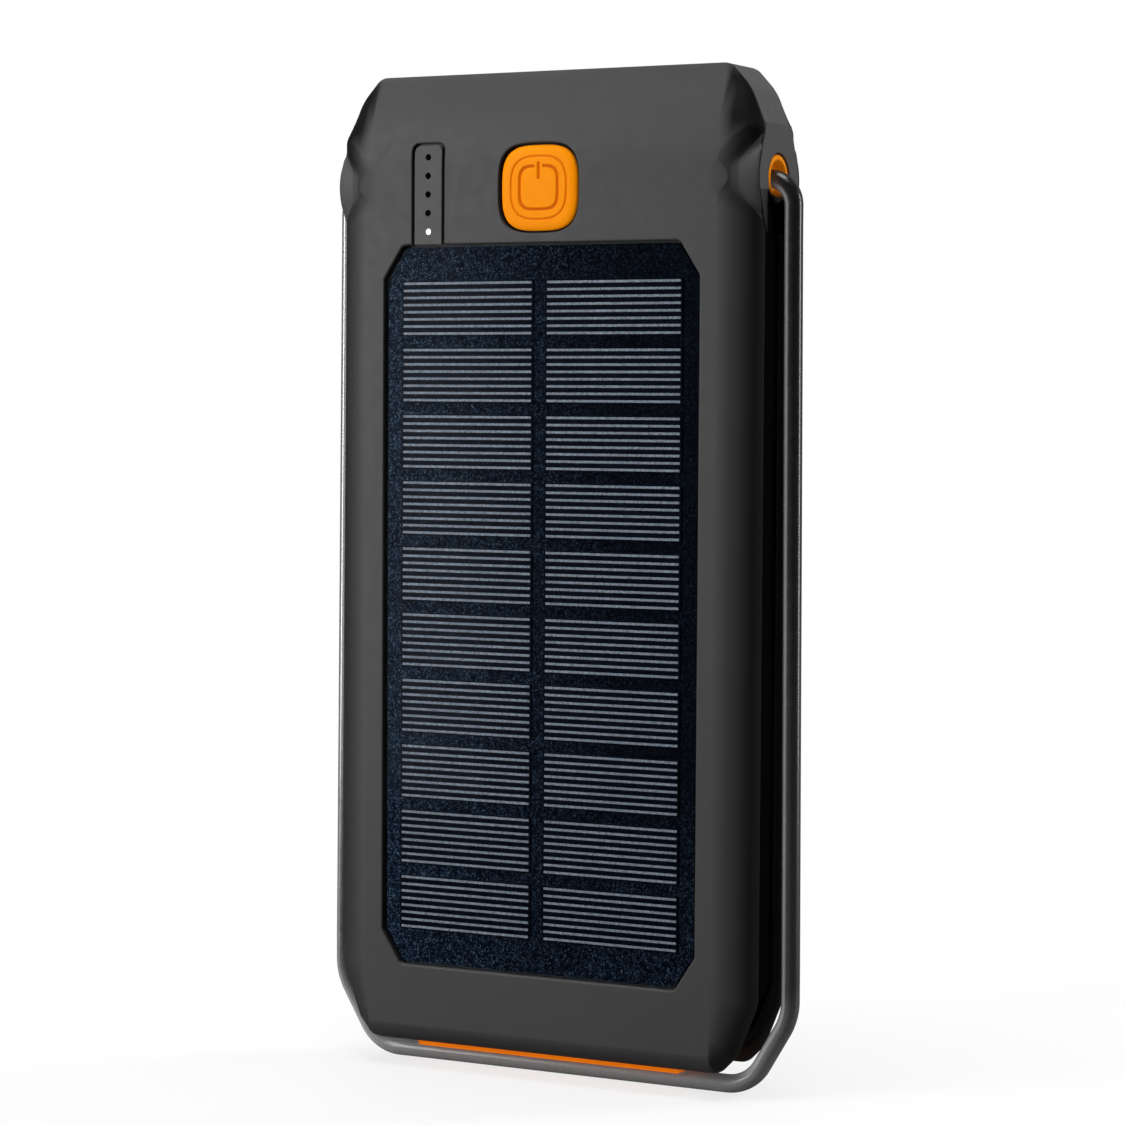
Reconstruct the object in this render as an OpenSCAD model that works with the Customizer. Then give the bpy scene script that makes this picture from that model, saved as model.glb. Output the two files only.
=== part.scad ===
// Rugged solar phone charger with a wire bail.
// Millimetres. +Z is up along the length, the solar face (front) looks along -Y,
// the lamp face (rear) along +Y.
// The origin is the bottom centre of the whole object: the underside of the bail lies in Z = 0.

/* [Casing] */
// Width of the casing at the seams
body_w = 72; // [70:0.5:76]
// Length of the casing, without the bail
body_h = 150; // [146:0.5:156]
// Thickness over both faces
body_t = 17; // [16.6:0.1:18]
// Width of the flat face
face_w = 59.4; // [57.5:0.1:61]
// Height of the sloped field at the upper end of each face
top_slope = 9.4; // [7:0.1:11]
// Width of the frame band between the two shells
band_t = 8.6; // [8.4:0.05:8.8]
// Wall thickness of the shells
wall = 1.3; // [1.1:0.05:1.6]

/* [Solar panel] */
// Width of the solar laminate
panel_w = 53.4; // [50:0.1:55]
// Length of the solar laminate
panel_h = 111.1; // [105:0.1:113]
// Height of the laminate's lower edge above the base of the casing
panel_z = 12.3; // [11:0.1:14]
// Columns of cells
cell_cols = 2; // [1:1:2]
// Rows of cells
cell_rows = 10; // [6:1:10]
// Silver contact lines on each cell
cell_lines = 8; // [4:1:9]

/* [Lamp] */
// Columns of lamp windows
lamp_cols = 3; // [1:1:3]
// Rows of lamp windows
lamp_rows = 6; // [2:1:6]
// Distance between window centres
lamp_pitch = 18; // [17:0.1:18]
// Width and height of a window lens
lens_w = 14.6; // [12:0.1:14.8]
// Size of the two cut corners of a window
lens_cut = 3.9; // [2:0.1:5]

/* [Bail] */
// Diameter of the bail wire
wire_d = 2.8; // [2.6:0.1:3.2]
// Distance from the middle to each leg of the bail
leg_x = 39.1; // [38.8:0.1:42]
// Height of the pivot above the base of the casing
pivot_z = 133; // [131:0.5:134]
// Angle of the diagonal in the lower corners, above the bar
bail_a = 59.3; // [50:0.1:70]
// Where the diagonals meet the line of the bar
bail_x = 32.6; // [31.5:0.1:34]
// Bend radius between leg and diagonal
bail_r1 = 9; // [5:0.5:10]
// Bend radius between diagonal and bar
bail_r2 = 6.7; // [5:0.1:8]

/* [Button] */
// Width of the power button
button_w = 13; // [10:0.1:13.4]
// Travel of the power button
button_travel = 0.5; // [0.3:0.05:0.5]

/* [Hidden] */
$fn = 48;
sliver = 0.01;
casing_z = 4.4;                 // base of the casing; all heights below count from it
half_w = body_w / 2;
half_t = body_t / 2;
half_face = face_w / 2;
outside = half_t + 1;           // clear of either face, for cuts
seam = band_t / 2 + 0.2;        // the shells start here, either side of Y = 0
base_drop = 0.6;                // the shells reach this far below the base line
channel = 1.9;                  // depth of the bail channel in the band
eye_r = 6.9;                    // radius of the pivot eye on the band
bush_r = 3.5;                   // outer radius of the pivot bush
wire_r = wire_d / 2;
screw_xz = [[-22, 15.5], [22, 15.5], [-22, 116], [22, 116]];
board_screw = [29, 116];        // X and Z, repeated at -X
bumper_peg_x = 15;
anchor_x = 22.6;                // peg of the cover anchor
usb_a_x = [-19.5, -2.5];
usb_c_x = 13.2;
solar_lead_x = [15.5, 17.5];
solar_lead_z = 111.2;
button_z = pivot_z - 0.95;      // height of the middle of the button
dot_x = -19.3;                  // column of charge lights
dot_z = [for (i = [0 : 4]) 125.75 + 2.85 * i];
lens_z = 75.3;                  // height of the middle of the lamp
lamp_z = span(lens_z, lamp_rows * lamp_pitch / 2 - 0.1);
main_board_y = [2.4, 3.4];
main_parts_y = 2.38;            // rear side of the parts on the main board
lead_colors = ["red", "black"];

// ---- helpers; x, y and z ranges are [from, to] ----
function span(middle, half) = [middle - half, middle + half];
function unit(v) = v / norm(v);
// the points of a right half outline, followed by their mirror images
function mirrored(points) = concat(points,
    [for (i = [len(points) - 1 : -1 : 0]) [-points[i][0], points[i][1]]]);
// arc that rounds the corner between the points before and after it
function corner_arc(before, corner, after, radius, steps) =
    let (
        u = unit(before - corner),
        v = unit(after - corner),
        half_angle = acos(u * v) / 2,
        centre = corner + unit(u + v) * (radius / sin(half_angle)),
        tangent = radius / tan(half_angle),
        first = corner + u * tangent - centre,
        last = corner + v * tangent - centre,
        start = atan2(first[1], first[0]),
        sweep = ((atan2(last[1], last[0]) - start + 540) % 360) - 180
    )
    [for (i = [0 : steps])
        centre + radius * [cos(start + sweep * i / steps), sin(start + sweep * i / steps)]];
// closed outline with its corners rounded; radii is one number or one per corner
function rounded(points, radii, steps = 5) =
    let (count = len(points))
    [for (i = [0 : count - 1])
        each corner_arc(points[(i + count - 1) % count], points[i], points[(i + 1) % count],
            is_list(radii) ? radii[i] : radii, steps)];

module seat() translate([0, 0, casing_z]) children();
module both_sides() for (m = [0, 1]) mirror([m, 0, 0]) children();
module at_button() translate([0, 0, button_z]) children();
// flat shape in X and Z, extruded along Y
module slab(y) translate([0, y[1], 0]) rotate([90, 0, 0]) linear_extrude(y[1] - y[0]) children();
module block(x, y, z) translate([x[0], y[0], z[0]]) cube([x[1] - x[0], y[1] - y[0], z[1] - z[0]]);
// rod along Y at an [x, z] place
module rod_y(place, radius, y)
    translate([place[0], y[1], place[1]]) rotate([90, 0, 0]) cylinder(h = y[1] - y[0], r = radius);
// rod along X, on the pivot axis unless z is given
module rod_x(radius, x, z = pivot_z)
    translate([x[0], 0, z]) rotate([0, 90, 0]) cylinder(h = x[1] - x[0], r = radius);
module screw_rods(radius, y) for (place = screw_xz) rod_y(place, radius, y);
module dot_rods(radius, y) for (z = dot_z) rod_y([dot_x, z], radius, y);
module cable(points, radius)
    for (i = [0 : len(points) - 2]) hull() {
        translate(points[i]) sphere(r = radius, $fn = 10);
        translate(points[i + 1]) sphere(r = radius, $fn = 10);
    }

// ---- shared outlines ----
// Casing outline, inset at the sides, top and base. crop scales the height of the upper
// corner, soften scales the corner radii.
outline_radii = [2.5, 9, 4, 5, 8, 4, 4, 8, 5, 4, 9, 2.5];
module outline_2d(side, top, base, crop = 1, soften = 1) {
    x = half_w - side;
    z = body_h - top;
    polygon(rounded(mirrored([
        [30 - side * 0.98, z],
        [33.4 - side, z - 3.7 * crop],
        [x, z - 9.8 * crop],
        [x, 11 + base * 0.4],
        [33 - side, 3.1 + base],
        [29 - side, base]
    ]), outline_radii * soften));
}
module eye_2d(grow) {
    r = eye_r + grow;
    x = band_t / 2 + grow;
    z = 8 + grow * 1.4;
    circle(r = r);
    polygon(mirrored([[x, z], [r * 0.933, r * 0.36], [r * 0.933, -r * 0.36], [x, -z]]));
}
module panel_2d(grow) {
    x = panel_w / 2 + grow;
    corner_x = panel_w / 2 - 3.2 + grow * 0.6;
    top = panel_z + panel_h;
    polygon(rounded(mirrored([
        [corner_x, panel_z - grow],
        [x, panel_z + 5 - grow * 0.5],
        [x, top - 5 + grow * 0.5],
        [corner_x, top + grow]
    ]), 1.2, 4));
}
// superellipse; a higher exponent is squarer
function superellipse(value, exponent) = sign(value) * pow(abs(value), 2 / exponent);
module button_2d(width, exponent = 3.3)
    polygon([for (turn = [0 : 7.5 : 352.5])
        width / 2 * [superellipse(cos(turn), exponent), superellipse(sin(turn), exponent)]]);
// strip above the panel, with two rounded upper corners
module indicator_2d(grow) {
    x = 2.6 + grow;
    top = dot_z[4] + 2 + grow;
    bottom = panel_z + panel_h + 0.5 - grow;
    r = 1.2;
    translate([dot_x, 0]) polygon(mirrored(concat(
        [for (q = [90 : -15 : 0]) [x - r + r * cos(q), top - r + r * sin(q)]],
        [[x, bottom]])));
}
// lamp window, cut at two opposite corners
module window_2d(width, cut) {
    a = width / 2;
    polygon(rounded([[a - cut, -a], [a, -a + cut], [a, a], [-a + cut, a], [-a, a - cut], [-a, -a]],
        [1.1, 1.1, 1.6, 1.1, 1.1, 1.6], 4));
}
module rounded_rect(width, height, radius, steps)
    polygon(rounded(mirrored([[width / 2, height / 2], [width / 2, -height / 2]]), radius, steps));
module lamp_grid()
    for (i = [0 : lamp_cols - 1], j = [0 : lamp_rows - 1])
        translate([(i - (lamp_cols - 1) / 2) * lamp_pitch, 0,
            lens_z + (j - (lamp_rows - 1) / 2) * lamp_pitch]) children();

// ---- casing ----
// outer form of one shell, on the -Y side: thin layers from the seam out to the face
module shell_form() {
    layer = 0.02;
    hull() for (q = [0 : 15 : 90]) {
        rise = sin(q);
        crop = 1 - 0.985 * rise;
        y = -seam - (half_t - seam) * rise + (q == 90 ? layer : 0);
        slab([y - layer, y])
            outline_2d((half_w - half_face) * (1 - cos(q)), top_slope * rise,
                3.2 * (1 - cos(q)) - base_drop, crop, max(crop, 0.1));
    }
}
module shell_room() hull() {
    slab([-seam - sliver, -seam + 0.3]) outline_2d(1.7, 1.7, 1.4, soften = 0.8);
    slab([-half_t + wall, -half_t + wall + sliver])
        outline_2d(half_w - half_face + 0.7, top_slope + 0.6, 4.4, crop = 0.1, soften = 0.1);
}
module pivot_eyes(grow, x)
    both_sides() translate([x[0], 0, pivot_z]) rotate([90, 0, 90])
        linear_extrude(x[1] - x[0]) eye_2d(grow);
// hollow shell on the -Y side, with a swelling at each pivot
module shell_blank() {
    swell_x = 31.6;
    difference() {
        union() {
            shell_form();
            intersection() {
                both_sides() translate([swell_x, 0, pivot_z]) rotate([0, 90, 0])
                    cylinder(h = half_w - swell_x, r1 = half_t - sliver, r2 = 7.55, $fn = 64);
                block(span(0, half_w), [-half_t, -seam], [-base_drop, body_h]);
            }
        }
        difference() {
            shell_room();
            both_sides() block(span(33.2, 2.4), [-half_t, -7.05], span(pivot_z, 9));
        }
        pivot_eyes(0.15, [30.6, half_w + 1]);
    }
}
module front_shell() color([0.27, 0.27, 0.27]) seat() difference() {
    union() {
        shell_blank();
        slab([-half_t + 0.3, -5.95]) panel_2d(1.2);
        screw_rods(2.8, [-6.2, -1.85]);
    }
    // openings for panel, button and charge lights
    slab([-outside, -6.95]) panel_2d(0.35);
    at_button() slab([-outside, -half_t + wall + 1]) button_2d(button_w + 0.6);
    slab([-outside, -7.55]) indicator_2d(0.15);
    dot_rods(0.5, [-9, -5]);
    // screw heads and shanks
    screw_rods(2.05, [-7.5, -5.6]);
    screw_rods(1.05, [-7, -1]);
    // slot for the solar leads
    block([14, 19], [-8, -5], span(solar_lead_z, 1.2));
}
module rear_shell() color([0.21, 0.21, 0.22]) seat() difference() {
    mirror([0, 1, 0]) shell_blank();
    lamp_grid() slab([half_t - wall - 1, outside]) window_2d(lens_w + 0.5, lens_cut + 0.1);
}
module mid_frame() color([0.3, 0.3, 0.31]) seat() difference() {
    union() {
        // ring: full width above the pivots, recessed below
        difference() {
            union() {
                intersection() {
                    slab(span(0, band_t / 2)) outline_2d(0, 0, 0);
                    block([-50, 50], [-10, 10], [pivot_z - 3.7, 160]);
                }
                slab(span(0, band_t / 2)) outline_2d(channel, 3, 1.7, soften = 0.9);
            }
            slab([-10, 10]) outline_2d(3.9, 3.4, 3.9, soften = 0.8);
        }
        pivot_eyes(0, [31, half_w]);
        // screw blocks
        both_sides() {
            block([18.6, 25.4], [-1.8, 2.2], [3, 19]);
            block([18.6, 33], [-1.8, 2.2], [112.6, 119.4]);
        }
    }
    both_sides() {
        // channel for the bail legs
        block([half_w - channel, half_w + 1], span(0, band_t / 2), [115, pivot_z - 8.02]);
        block([half_w - channel, half_w + 1], [-3.75, 3.75], [115, pivot_z - 3.7]);
        // seats of the pivot bushes
        rod_x(bush_r + 0.02, [30, 40]);
        rod_x(3.85, [half_w - 0.6, 40]);
    }
    // recess, sockets and anchor hole under the port cover
    block([-34, 25.2], [-3.3, 3.3], [148.7, 152]);
    translate([-31.7, 1.9, 148.4]) rotate([90, 0, 0]) cylinder(h = 3.8, r = 1.2);
    for (x = usb_a_x) block(span(x, 6.75), [-3.25, 2.45], [140, 150]);
    block(span(usb_c_x, 4.7), [-1.15, 2.5], [140, 150]);
    translate([anchor_x, 0, 140]) cylinder(h = 12, r = 1.25);
    // screws, base bumper pegs
    screw_rods(1.62, [-5, 5]);
    both_sides() {
        rod_y(board_screw, 0.85, [-1, 5]);
        translate([bumper_peg_x, 0, -2]) cylinder(h = 10, r = 1.3);
    }
}
// seal on the -Y seam, open at the pivots
module gasket() difference() {
    slab([-seam + 0.02, -seam + 0.18]) difference() {
        outline_2d(0.35, 0.35, 1.75);
        outline_2d(1.6, 1.6, 3);
        for (side = [-1, 1]) translate([side * 33, pivot_z]) square([10, 20], center = true);
    }
    // below the pivots the band is recessed, and so is the seal
    both_sides() block([half_w - 0.9, half_w + 1], [-10, 10], [-1, pivot_z]);
}
module front_gasket() color([0.05, 0.05, 0.05]) seat() gasket();
module rear_gasket() color([0.05, 0.05, 0.05]) seat() mirror([0, 1, 0]) gasket();
module base_bumper() color([1, 0.45, 0.05]) seat() {
    slab([-4.4, 4.4]) polygon(mirrored([[24, 1.65], [22.6, -1.4]]));
    both_sides() {
        translate([bumper_peg_x, 0, 1]) cylinder(h = 3.2, r = 1.2);
        translate([bumper_peg_x, 0, 3.95]) cylinder(h = 0.9, r1 = 1.7, r2 = 1.2);
    }
}

// ---- solar panel ----
cell_w = panel_w / 2 - 3.6;
cell_h = 8.5;
cell_gap = 2.1;                 // between the columns
cell_pitch = (panel_h - 8.6) / cell_rows;
finger_pitch = 1.1;
module cell_grid()
    for (i = [0 : cell_cols - 1], j = [0 : cell_rows - 1])
        translate([(i - (cell_cols - 1) / 2) * (cell_w + cell_gap), 0,
            panel_z + panel_h / 2 + (j - (cell_rows - 1) / 2) * cell_pitch]) children();
module solar_substrate() color([0.03, 0.05, 0.09]) seat() slab([-7.75, -7.1]) panel_2d(0);
module solar_cells() color([0.04, 0.07, 0.13]) seat()
    cell_grid() slab([-7.95, -7.77]) square([cell_w, cell_h], center = true);
module cell_fingers() color([0.75, 0.77, 0.8]) seat()
    cell_grid() slab([-8.01, -7.96]) for (k = [0 : cell_lines - 1])
        translate([0, (k - (cell_lines - 1) / 2) * finger_pitch])
            square([22.5, 0.36], center = true);
module solar_cover() color([0.1, 0.14, 0.2, 0.35]) seat() slab([-8.3, -8.02]) panel_2d(0);
module solar_adhesive() color([0.9, 0.9, 0.88]) seat() slab([-7.08, -6.97]) difference() {
    panel_2d(-1.5);
    translate([0, 66]) square([40, 60], center = true);
    for (place = screw_xz) translate(place) circle(r = 2.4);
    translate([16.5, solar_lead_z]) square([6, 4], center = true);
}
module solar_leads() for (k = [0, 1]) color(lead_colors[k]) seat() {
    rod_y([solar_lead_x[k], solar_lead_z], 0.45, [-7.05, 3.1]);
    rod_y([solar_lead_x[k], solar_lead_z], 0.7, [2.5, 3.3]);
}

// ---- button and charge lights ----
module power_sign() {
    difference() {
        button_2d(6.9, 4);
        button_2d(6.1, 4);
        translate([0, 3]) square([1.5, 3], center = true);
    }
    translate([0, 2.55]) square([0.55, 2.6], center = true);
}
module button_cap() color([1, 0.56, 0.02]) seat() at_button() difference() {
    union() {
        slab([-half_t + 0.02, -7.05]) button_2d(button_w);
        slab([-7.12, -6.5]) button_2d(button_w + 1.6);
        slab([-6.55, -6.46]) circle(r = 1.5);
    }
    // engraved ring and power sign
    slab([-outside, -half_t + 0.3]) difference() {
        button_2d(9.7, 2.9);
        button_2d(9.3, 2.9);
    }
    slab([-outside, -half_t + 0.3]) power_sign();
}
module button_membrane() color([0.12, 0.12, 0.12]) seat() at_button()
    slab([-5.93, -5.5]) difference() {
        button_2d(15.4);
        square([6, 6], center = true);
    }
plunger_y = [-6.44, -5.15];
module button_switch() color([0.1, 0.1, 0.1]) seat() at_button() difference() {
    slab([-5.9, -4.22]) square([4.6, 4.6], center = true);
    rod_y([0, 0], 1.25, [-7, plunger_y[1] + button_travel + 0.15]);
}
module switch_plunger() color([0.85, 0.3, 0.1]) seat() rod_y([0, button_z], 1.15, plunger_y);
module button_board() color([0.05, 0.25, 0.12]) seat() slab([-4.2, -3.4]) difference() {
    translate([-23, 122.2]) square([32, 17]);
    for (x = [-14, 6.5]) translate([x, 124.5]) circle(r = 0.9);
}
module indicator_strip() color([0.24, 0.24, 0.24]) seat() difference() {
    slab([-half_t + 0.03, -7.6]) indicator_2d(-0.2);
    dot_rods(0.5, [-9, -7]);
}
module indicator_light_pipes() color([0.9, 0.95, 1, 0.6]) seat()
    dot_rods(0.46, [-half_t + 0.25, -4.95]);
module indicator_leds() color([0.95, 0.95, 0.9]) seat()
    for (z = dot_z) block(span(dot_x, 0.8), [-4.85, -4.22], span(z, 0.5));

// ---- electronics ----
module main_board() color([0.04, 0.25, 0.14]) seat() slab(main_board_y) difference() {
    union() {
        translate([-31.4, 112.7]) square([62.8, 7.5]);
        translate([-27, 112.7]) square([54, 31.6]);
    }
    for (side = [-1, 1]) {
        translate([side * board_screw[0], board_screw[1]]) circle(r = 0.95);
        translate([side * 22, 116]) circle(r = 1.9);
    }
}
// open shell with a tongue inside
module usb_a_port(x) difference() {
    block(span(x, 6.6), [-3.18, 2.35], [136.6, 148]);
    difference() {
        block(span(x, 6.15), [-2.75, 1.95], [138, 149]);
        block(span(x, 5.7), [0.3, 1.5], [137, 147.4]);
    }
}
module usb_a_port_left() color([0.75, 0.75, 0.77]) seat() usb_a_port(usb_a_x[0]);
module usb_a_port_right() color([0.75, 0.75, 0.77]) seat() usb_a_port(usb_a_x[1]);
module usb_c_form(z, width, height)
    translate([usb_c_x, 0.7, z[0]]) linear_extrude(z[1] - z[0])
        rounded_rect(width, height, height * 0.4, 5);
module usb_c_port() color([0.7, 0.7, 0.72]) seat() difference() {
    usb_c_form([140.4, 148], 9, 3.2);
    difference() {
        usb_c_form([141.4, 149], 8.3, 2.5);
        block(span(usb_c_x, 3.3), [0.35, 1.05], [141, 147.2]);
    }
}
module inductors() color([0.2, 0.2, 0.21]) seat()
    for (x = [-16, 1]) slab([-1.2, main_parts_y]) translate([x, 128]) rounded_rect(6.8, 6.8, 1, 4);
module capacitors() color([0.7, 0.6, 0.45]) seat() {
    for (i = [0 : 3]) block(span(-8.9 + i * 1.9, 0.7), [1.4, main_parts_y], [121.5, 123.6]);
    for (x = [10, 14.6]) rod_y([x, 124], 2, [-1.6, main_parts_y]);
}
module charge_ics() color([0.08, 0.08, 0.08]) seat()
    // X, Z and width of each chip
    for (chip = [[-8, 130, 4], [19, 131, 5], [-22.5, 124, 3.6]])
        block(span(chip[0], chip[2] / 2), [1.5, main_parts_y], span(chip[1], chip[2] / 2));
module mosfets() color([0.1, 0.1, 0.1]) seat()
    for (x = [8, 12, 16, 20]) block(span(x, 1.5), [1.5, main_parts_y], span(136, 1.5));
// row of pins from the button board to the main board
module board_link() color([0.8, 0.68, 0.3]) seat()
    for (i = [0 : 5]) block(span(-19 + i * 1.27, 0.2), [-3.38, main_parts_y], [122.9, 123.3]);

// ---- battery ----
// cell with a thinner tongue at its upper and lower ends
module pouch(y) {
    block([-29.4, 29.4], y, [21, 107.6]);
    block([-28.6, 28.6], span((y[0] + y[1]) / 2, 0.4), [20.2, 109.8]);
}
module battery_cell_front() color([0.72, 0.73, 0.75]) seat() pouch([-5.45, -1.35]);
module battery_cell_rear() color([0.72, 0.73, 0.75]) seat() pouch([-1.1, 3]);
module battery_pads() color([0.15, 0.15, 0.15]) seat() for (z = [30, 92]) {
    block([-20, 20], [-5.9, -5.5], [z, z + 10]);
    block([-20, 20], [3.05, 3.85], [z, z + 10]);
    block([-20, 20], [-1.3, -1.15], [z - 2, z + 10]);
}
module battery_leads() for (k = [0, 1]) color(lead_colors[k]) seat()
    translate([-5 + k * 3, 0, 0])
        cable([[0, 0.95, 110.5], [0, 0.95, 112], [0, 1.2, 115.2], [0, 1.75, 116.2]], 0.6);

// ---- lamp ----
lamp_parts_y = 4.92;            // front side of the parts on the lamp board
module lamp_board() color([0.93, 0.93, 0.92]) seat() block([-26.2, 26.2], [3.9, 4.9], lamp_z);
module lamp_leds() color([0.95, 0.9, 0.35]) seat()
    lamp_grid() block([-1, 1], [lamp_parts_y, 5.6], [-1.6, 1.6]);
module lamp_resistors() color([0.85, 0.85, 0.83]) seat()
    lamp_grid() block([2.1, 3.3], [lamp_parts_y, 5.35], [-1.2, 1.2]);
module lamp_reflectors() color([0.96, 0.96, 0.96]) seat() difference() {
    block([-26.6, 26.6], [4.95, 6.45], lamp_z);
    lamp_grid() slab([4, 7]) square(13.6, center = true);
}
module lamp_lenses() color([0.9, 0.95, 1, 0.4]) seat() {
    block([-26.8, 26.8], [6.5, 7.1], lamp_z);
    lamp_grid() {
        slab([7, 7.65]) window_2d(lens_w, lens_cut);
        slab([7, 7.95]) window_2d(lens_w - 1.2, lens_cut - 0.3);
    }
}
module lamp_leads() for (k = [0, 1]) color(lead_colors[k]) seat()
    translate([29.6 - k * 1.6, 0, 0])
        cable([[0, 4.3, 124.5], [0, 4.3, 121.8], [0, 3.85, 119.6], [0, 3.85, 119]], 0.4);

// ---- bail and its pivots ----
bar_z = wire_r - casing_z;      // centre of the lower bar
elbow_r = 4;                    // bend between leg and pivot end
run_r = wire_r - 0.012;         // the straight runs are a hair thinner than the bends
lap = 0.2;                      // and reach this far into them
// tangent lengths and centres [x, z] of the two bends of a lower corner
leg_tangent = bail_r1 * tan((90 - bail_a) / 2);
bar_tangent = bail_r2 * tan(bail_a / 2);
leg_bend = [leg_x - bail_r1, bar_z + (leg_x - bail_x) * tan(bail_a) + leg_tangent];
bar_bend = [bail_x - bar_tangent, bar_z + bail_r2];
diagonal = (leg_x - bail_x) / cos(bail_a) - leg_tangent - bar_tangent;
module bend(centre, radius, from, turn)
    translate([centre[0], 0, centre[1]]) rotate([90, 0, 0]) rotate([0, 0, from])
        rotate_extrude(angle = turn) translate([radius, 0]) circle(r = wire_r);
module bail_handle() color([0.1, 0.1, 0.11]) seat() difference() {
    union() {
        both_sides() {
            // pivot end, elbow, leg
            rod_x(wire_r, [28.6, leg_x - elbow_r]);
            bend([leg_x - elbow_r, pivot_z - elbow_r], elbow_r, 0, 90);
            translate([leg_x, 0, leg_bend[1] - lap])
                cylinder(h = pivot_z - elbow_r - leg_bend[1] + 2 * lap, r = run_r);
            // lower corner
            bend(leg_bend, bail_r1, bail_a - 90, 90 - bail_a);
            translate([bar_bend[0] + bail_r2 * sin(bail_a), 0, bar_bend[1] - bail_r2 * cos(bail_a)])
                rotate([0, 90 - bail_a, 0]) translate([0, 0, -lap])
                    cylinder(h = diagonal + 2 * lap, r = run_r);
            bend(bar_bend, bail_r2, -90, bail_a);
        }
        rod_x(run_r, span(0, bar_bend[0] + lap), bar_z);
    }
    // clip grooves
    both_sides() difference() {
        rod_x(3, [29.2, 30]);
        rod_x(1.1, [29, 30.2]);
    }
}
module bush() difference() {
    rod_x(bush_r, [31, half_w - 0.1]);
    rod_x(wire_r + 0.05, [30, 40]);
    rod_x(2.7, [34.5, 40]);
}
module pivot_bush_right() color([0.93, 0.5, 0.05]) seat() bush();
module pivot_bush_left() color([0.93, 0.5, 0.05]) seat() mirror([1, 0, 0]) bush();
// ring open at the bottom
module clip() difference() {
    rod_x(2.6, [29.3, 29.9]);
    rod_x(1.15, [29, 30.2]);
    block([29, 30.2], [-0.9, 0.9], [pivot_z - 4, pivot_z]);
}
module bail_clip_right() color([0.6, 0.6, 0.62]) seat() clip();
module bail_clip_left() color([0.6, 0.6, 0.62]) seat() mirror([1, 0, 0]) clip();

// ---- port cover ----
hinge_x = 19.85;
hinge_r = 0.56;
cover_y = [-3.15, 3.15];
cover_z = [148.88, 149.93];
// rounded tab at the -X end
module cover_tab() translate([0, 0, cover_z[0]]) linear_extrude(cover_z[1] - cover_z[0])
    polygon(rounded([[-29, 1.9], [-29, -1.9], [-32.1, -1.9], [-32.1, 1.9]], [0.2, 0.2, 1.5, 1.5], 6));
module port_cover() color([1, 0.5, 0.05]) seat() difference() {
    union() {
        block([-30, hinge_x], cover_y, cover_z);
        rod_y([hinge_x, 149.38], hinge_r, cover_y);
        cover_tab();
        // plugs over the ports
        for (x = usb_a_x) block(span(x, 6.2), [-2.7, 1.9], [148.12, 149]);
        block(span(usb_c_x, 4.2), [-0.6, 2], [148.12, 149]);
    }
    // grooves across the -X end
    for (x = [-28.4 : 1.2 : -24.8]) block(span(x, 0.25), [-2, 2], [149.7, 150.5]);
}
module cover_anchor() color([1, 0.5, 0.05]) seat() {
    block([hinge_x + hinge_r + 0.1, 25], cover_y, [148.76, cover_z[1]]);
    translate([anchor_x, 0, 146.3]) cylinder(h = 3, r = 1.2);
    translate([anchor_x, 0, 145.4]) cylinder(h = 1.15, r1 = 1.1, r2 = 1.8);
}

// ---- fasteners ----
module case_screws() color([0.35, 0.35, 0.37]) seat() difference() {
    union() {
        screw_rods(1.9, [-6.9, -5.65]);
        screw_rods(0.95, [-6, 1.9]);
    }
    for (place = screw_xz, turn = [0, 90])
        translate([place[0], -6.9, place[1]]) rotate([0, turn, 0])
            cube([2.2, 1.2, 0.5], center = true);
}
module thread_inserts() color([0.78, 0.6, 0.25]) seat() difference() {
    screw_rods(1.6, [-1.78, 2.15]);
    screw_rods(1, [-3, 3]);
}
module board_screws() color([0.55, 0.55, 0.57]) seat() both_sides() difference() {
    union() {
        rod_y(board_screw, 1.6, [3.42, 4.1]);
        rod_y(board_screw, 0.8, [-0.6, 3.6]);
    }
    translate([board_screw[0], 4.1, board_screw[1]]) cube([2, 0.6, 0.4], center = true);
}

front_shell();
rear_shell();
mid_frame();
front_gasket();
rear_gasket();
solar_substrate();
solar_cells();
cell_fingers();
solar_cover();
solar_adhesive();
solar_leads();
button_cap();
button_membrane();
button_switch();
switch_plunger();
button_board();
indicator_strip();
indicator_light_pipes();
indicator_leds();
main_board();
usb_a_port_left();
usb_a_port_right();
usb_c_port();
inductors();
capacitors();
charge_ics();
mosfets();
board_link();
battery_cell_front();
battery_cell_rear();
battery_pads();
battery_leads();
lamp_board();
lamp_leds();
lamp_resistors();
lamp_reflectors();
lamp_lenses();
lamp_leads();
bail_handle();
pivot_bush_left();
pivot_bush_right();
bail_clip_left();
bail_clip_right();
base_bumper();
port_cover();
cover_anchor();
case_screws();
thread_inserts();
board_screws();
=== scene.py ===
"""A flat solar lamp standing upright on its wire bail.

X runs across the width, Y through the thickness and Z up. The solar panel, the button and the
indicator dots face -Y, the lamp windows face +Y, and the bail turns about a line along X.
Shapes are drawn in millimetres from the base line of the casing, which is BASE_Z above the floor.
"""
import math

import bmesh
import bpy
import numpy as np
from mathutils import Matrix, Vector
from mathutils.geometry import delaunay_2d_cdt


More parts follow.
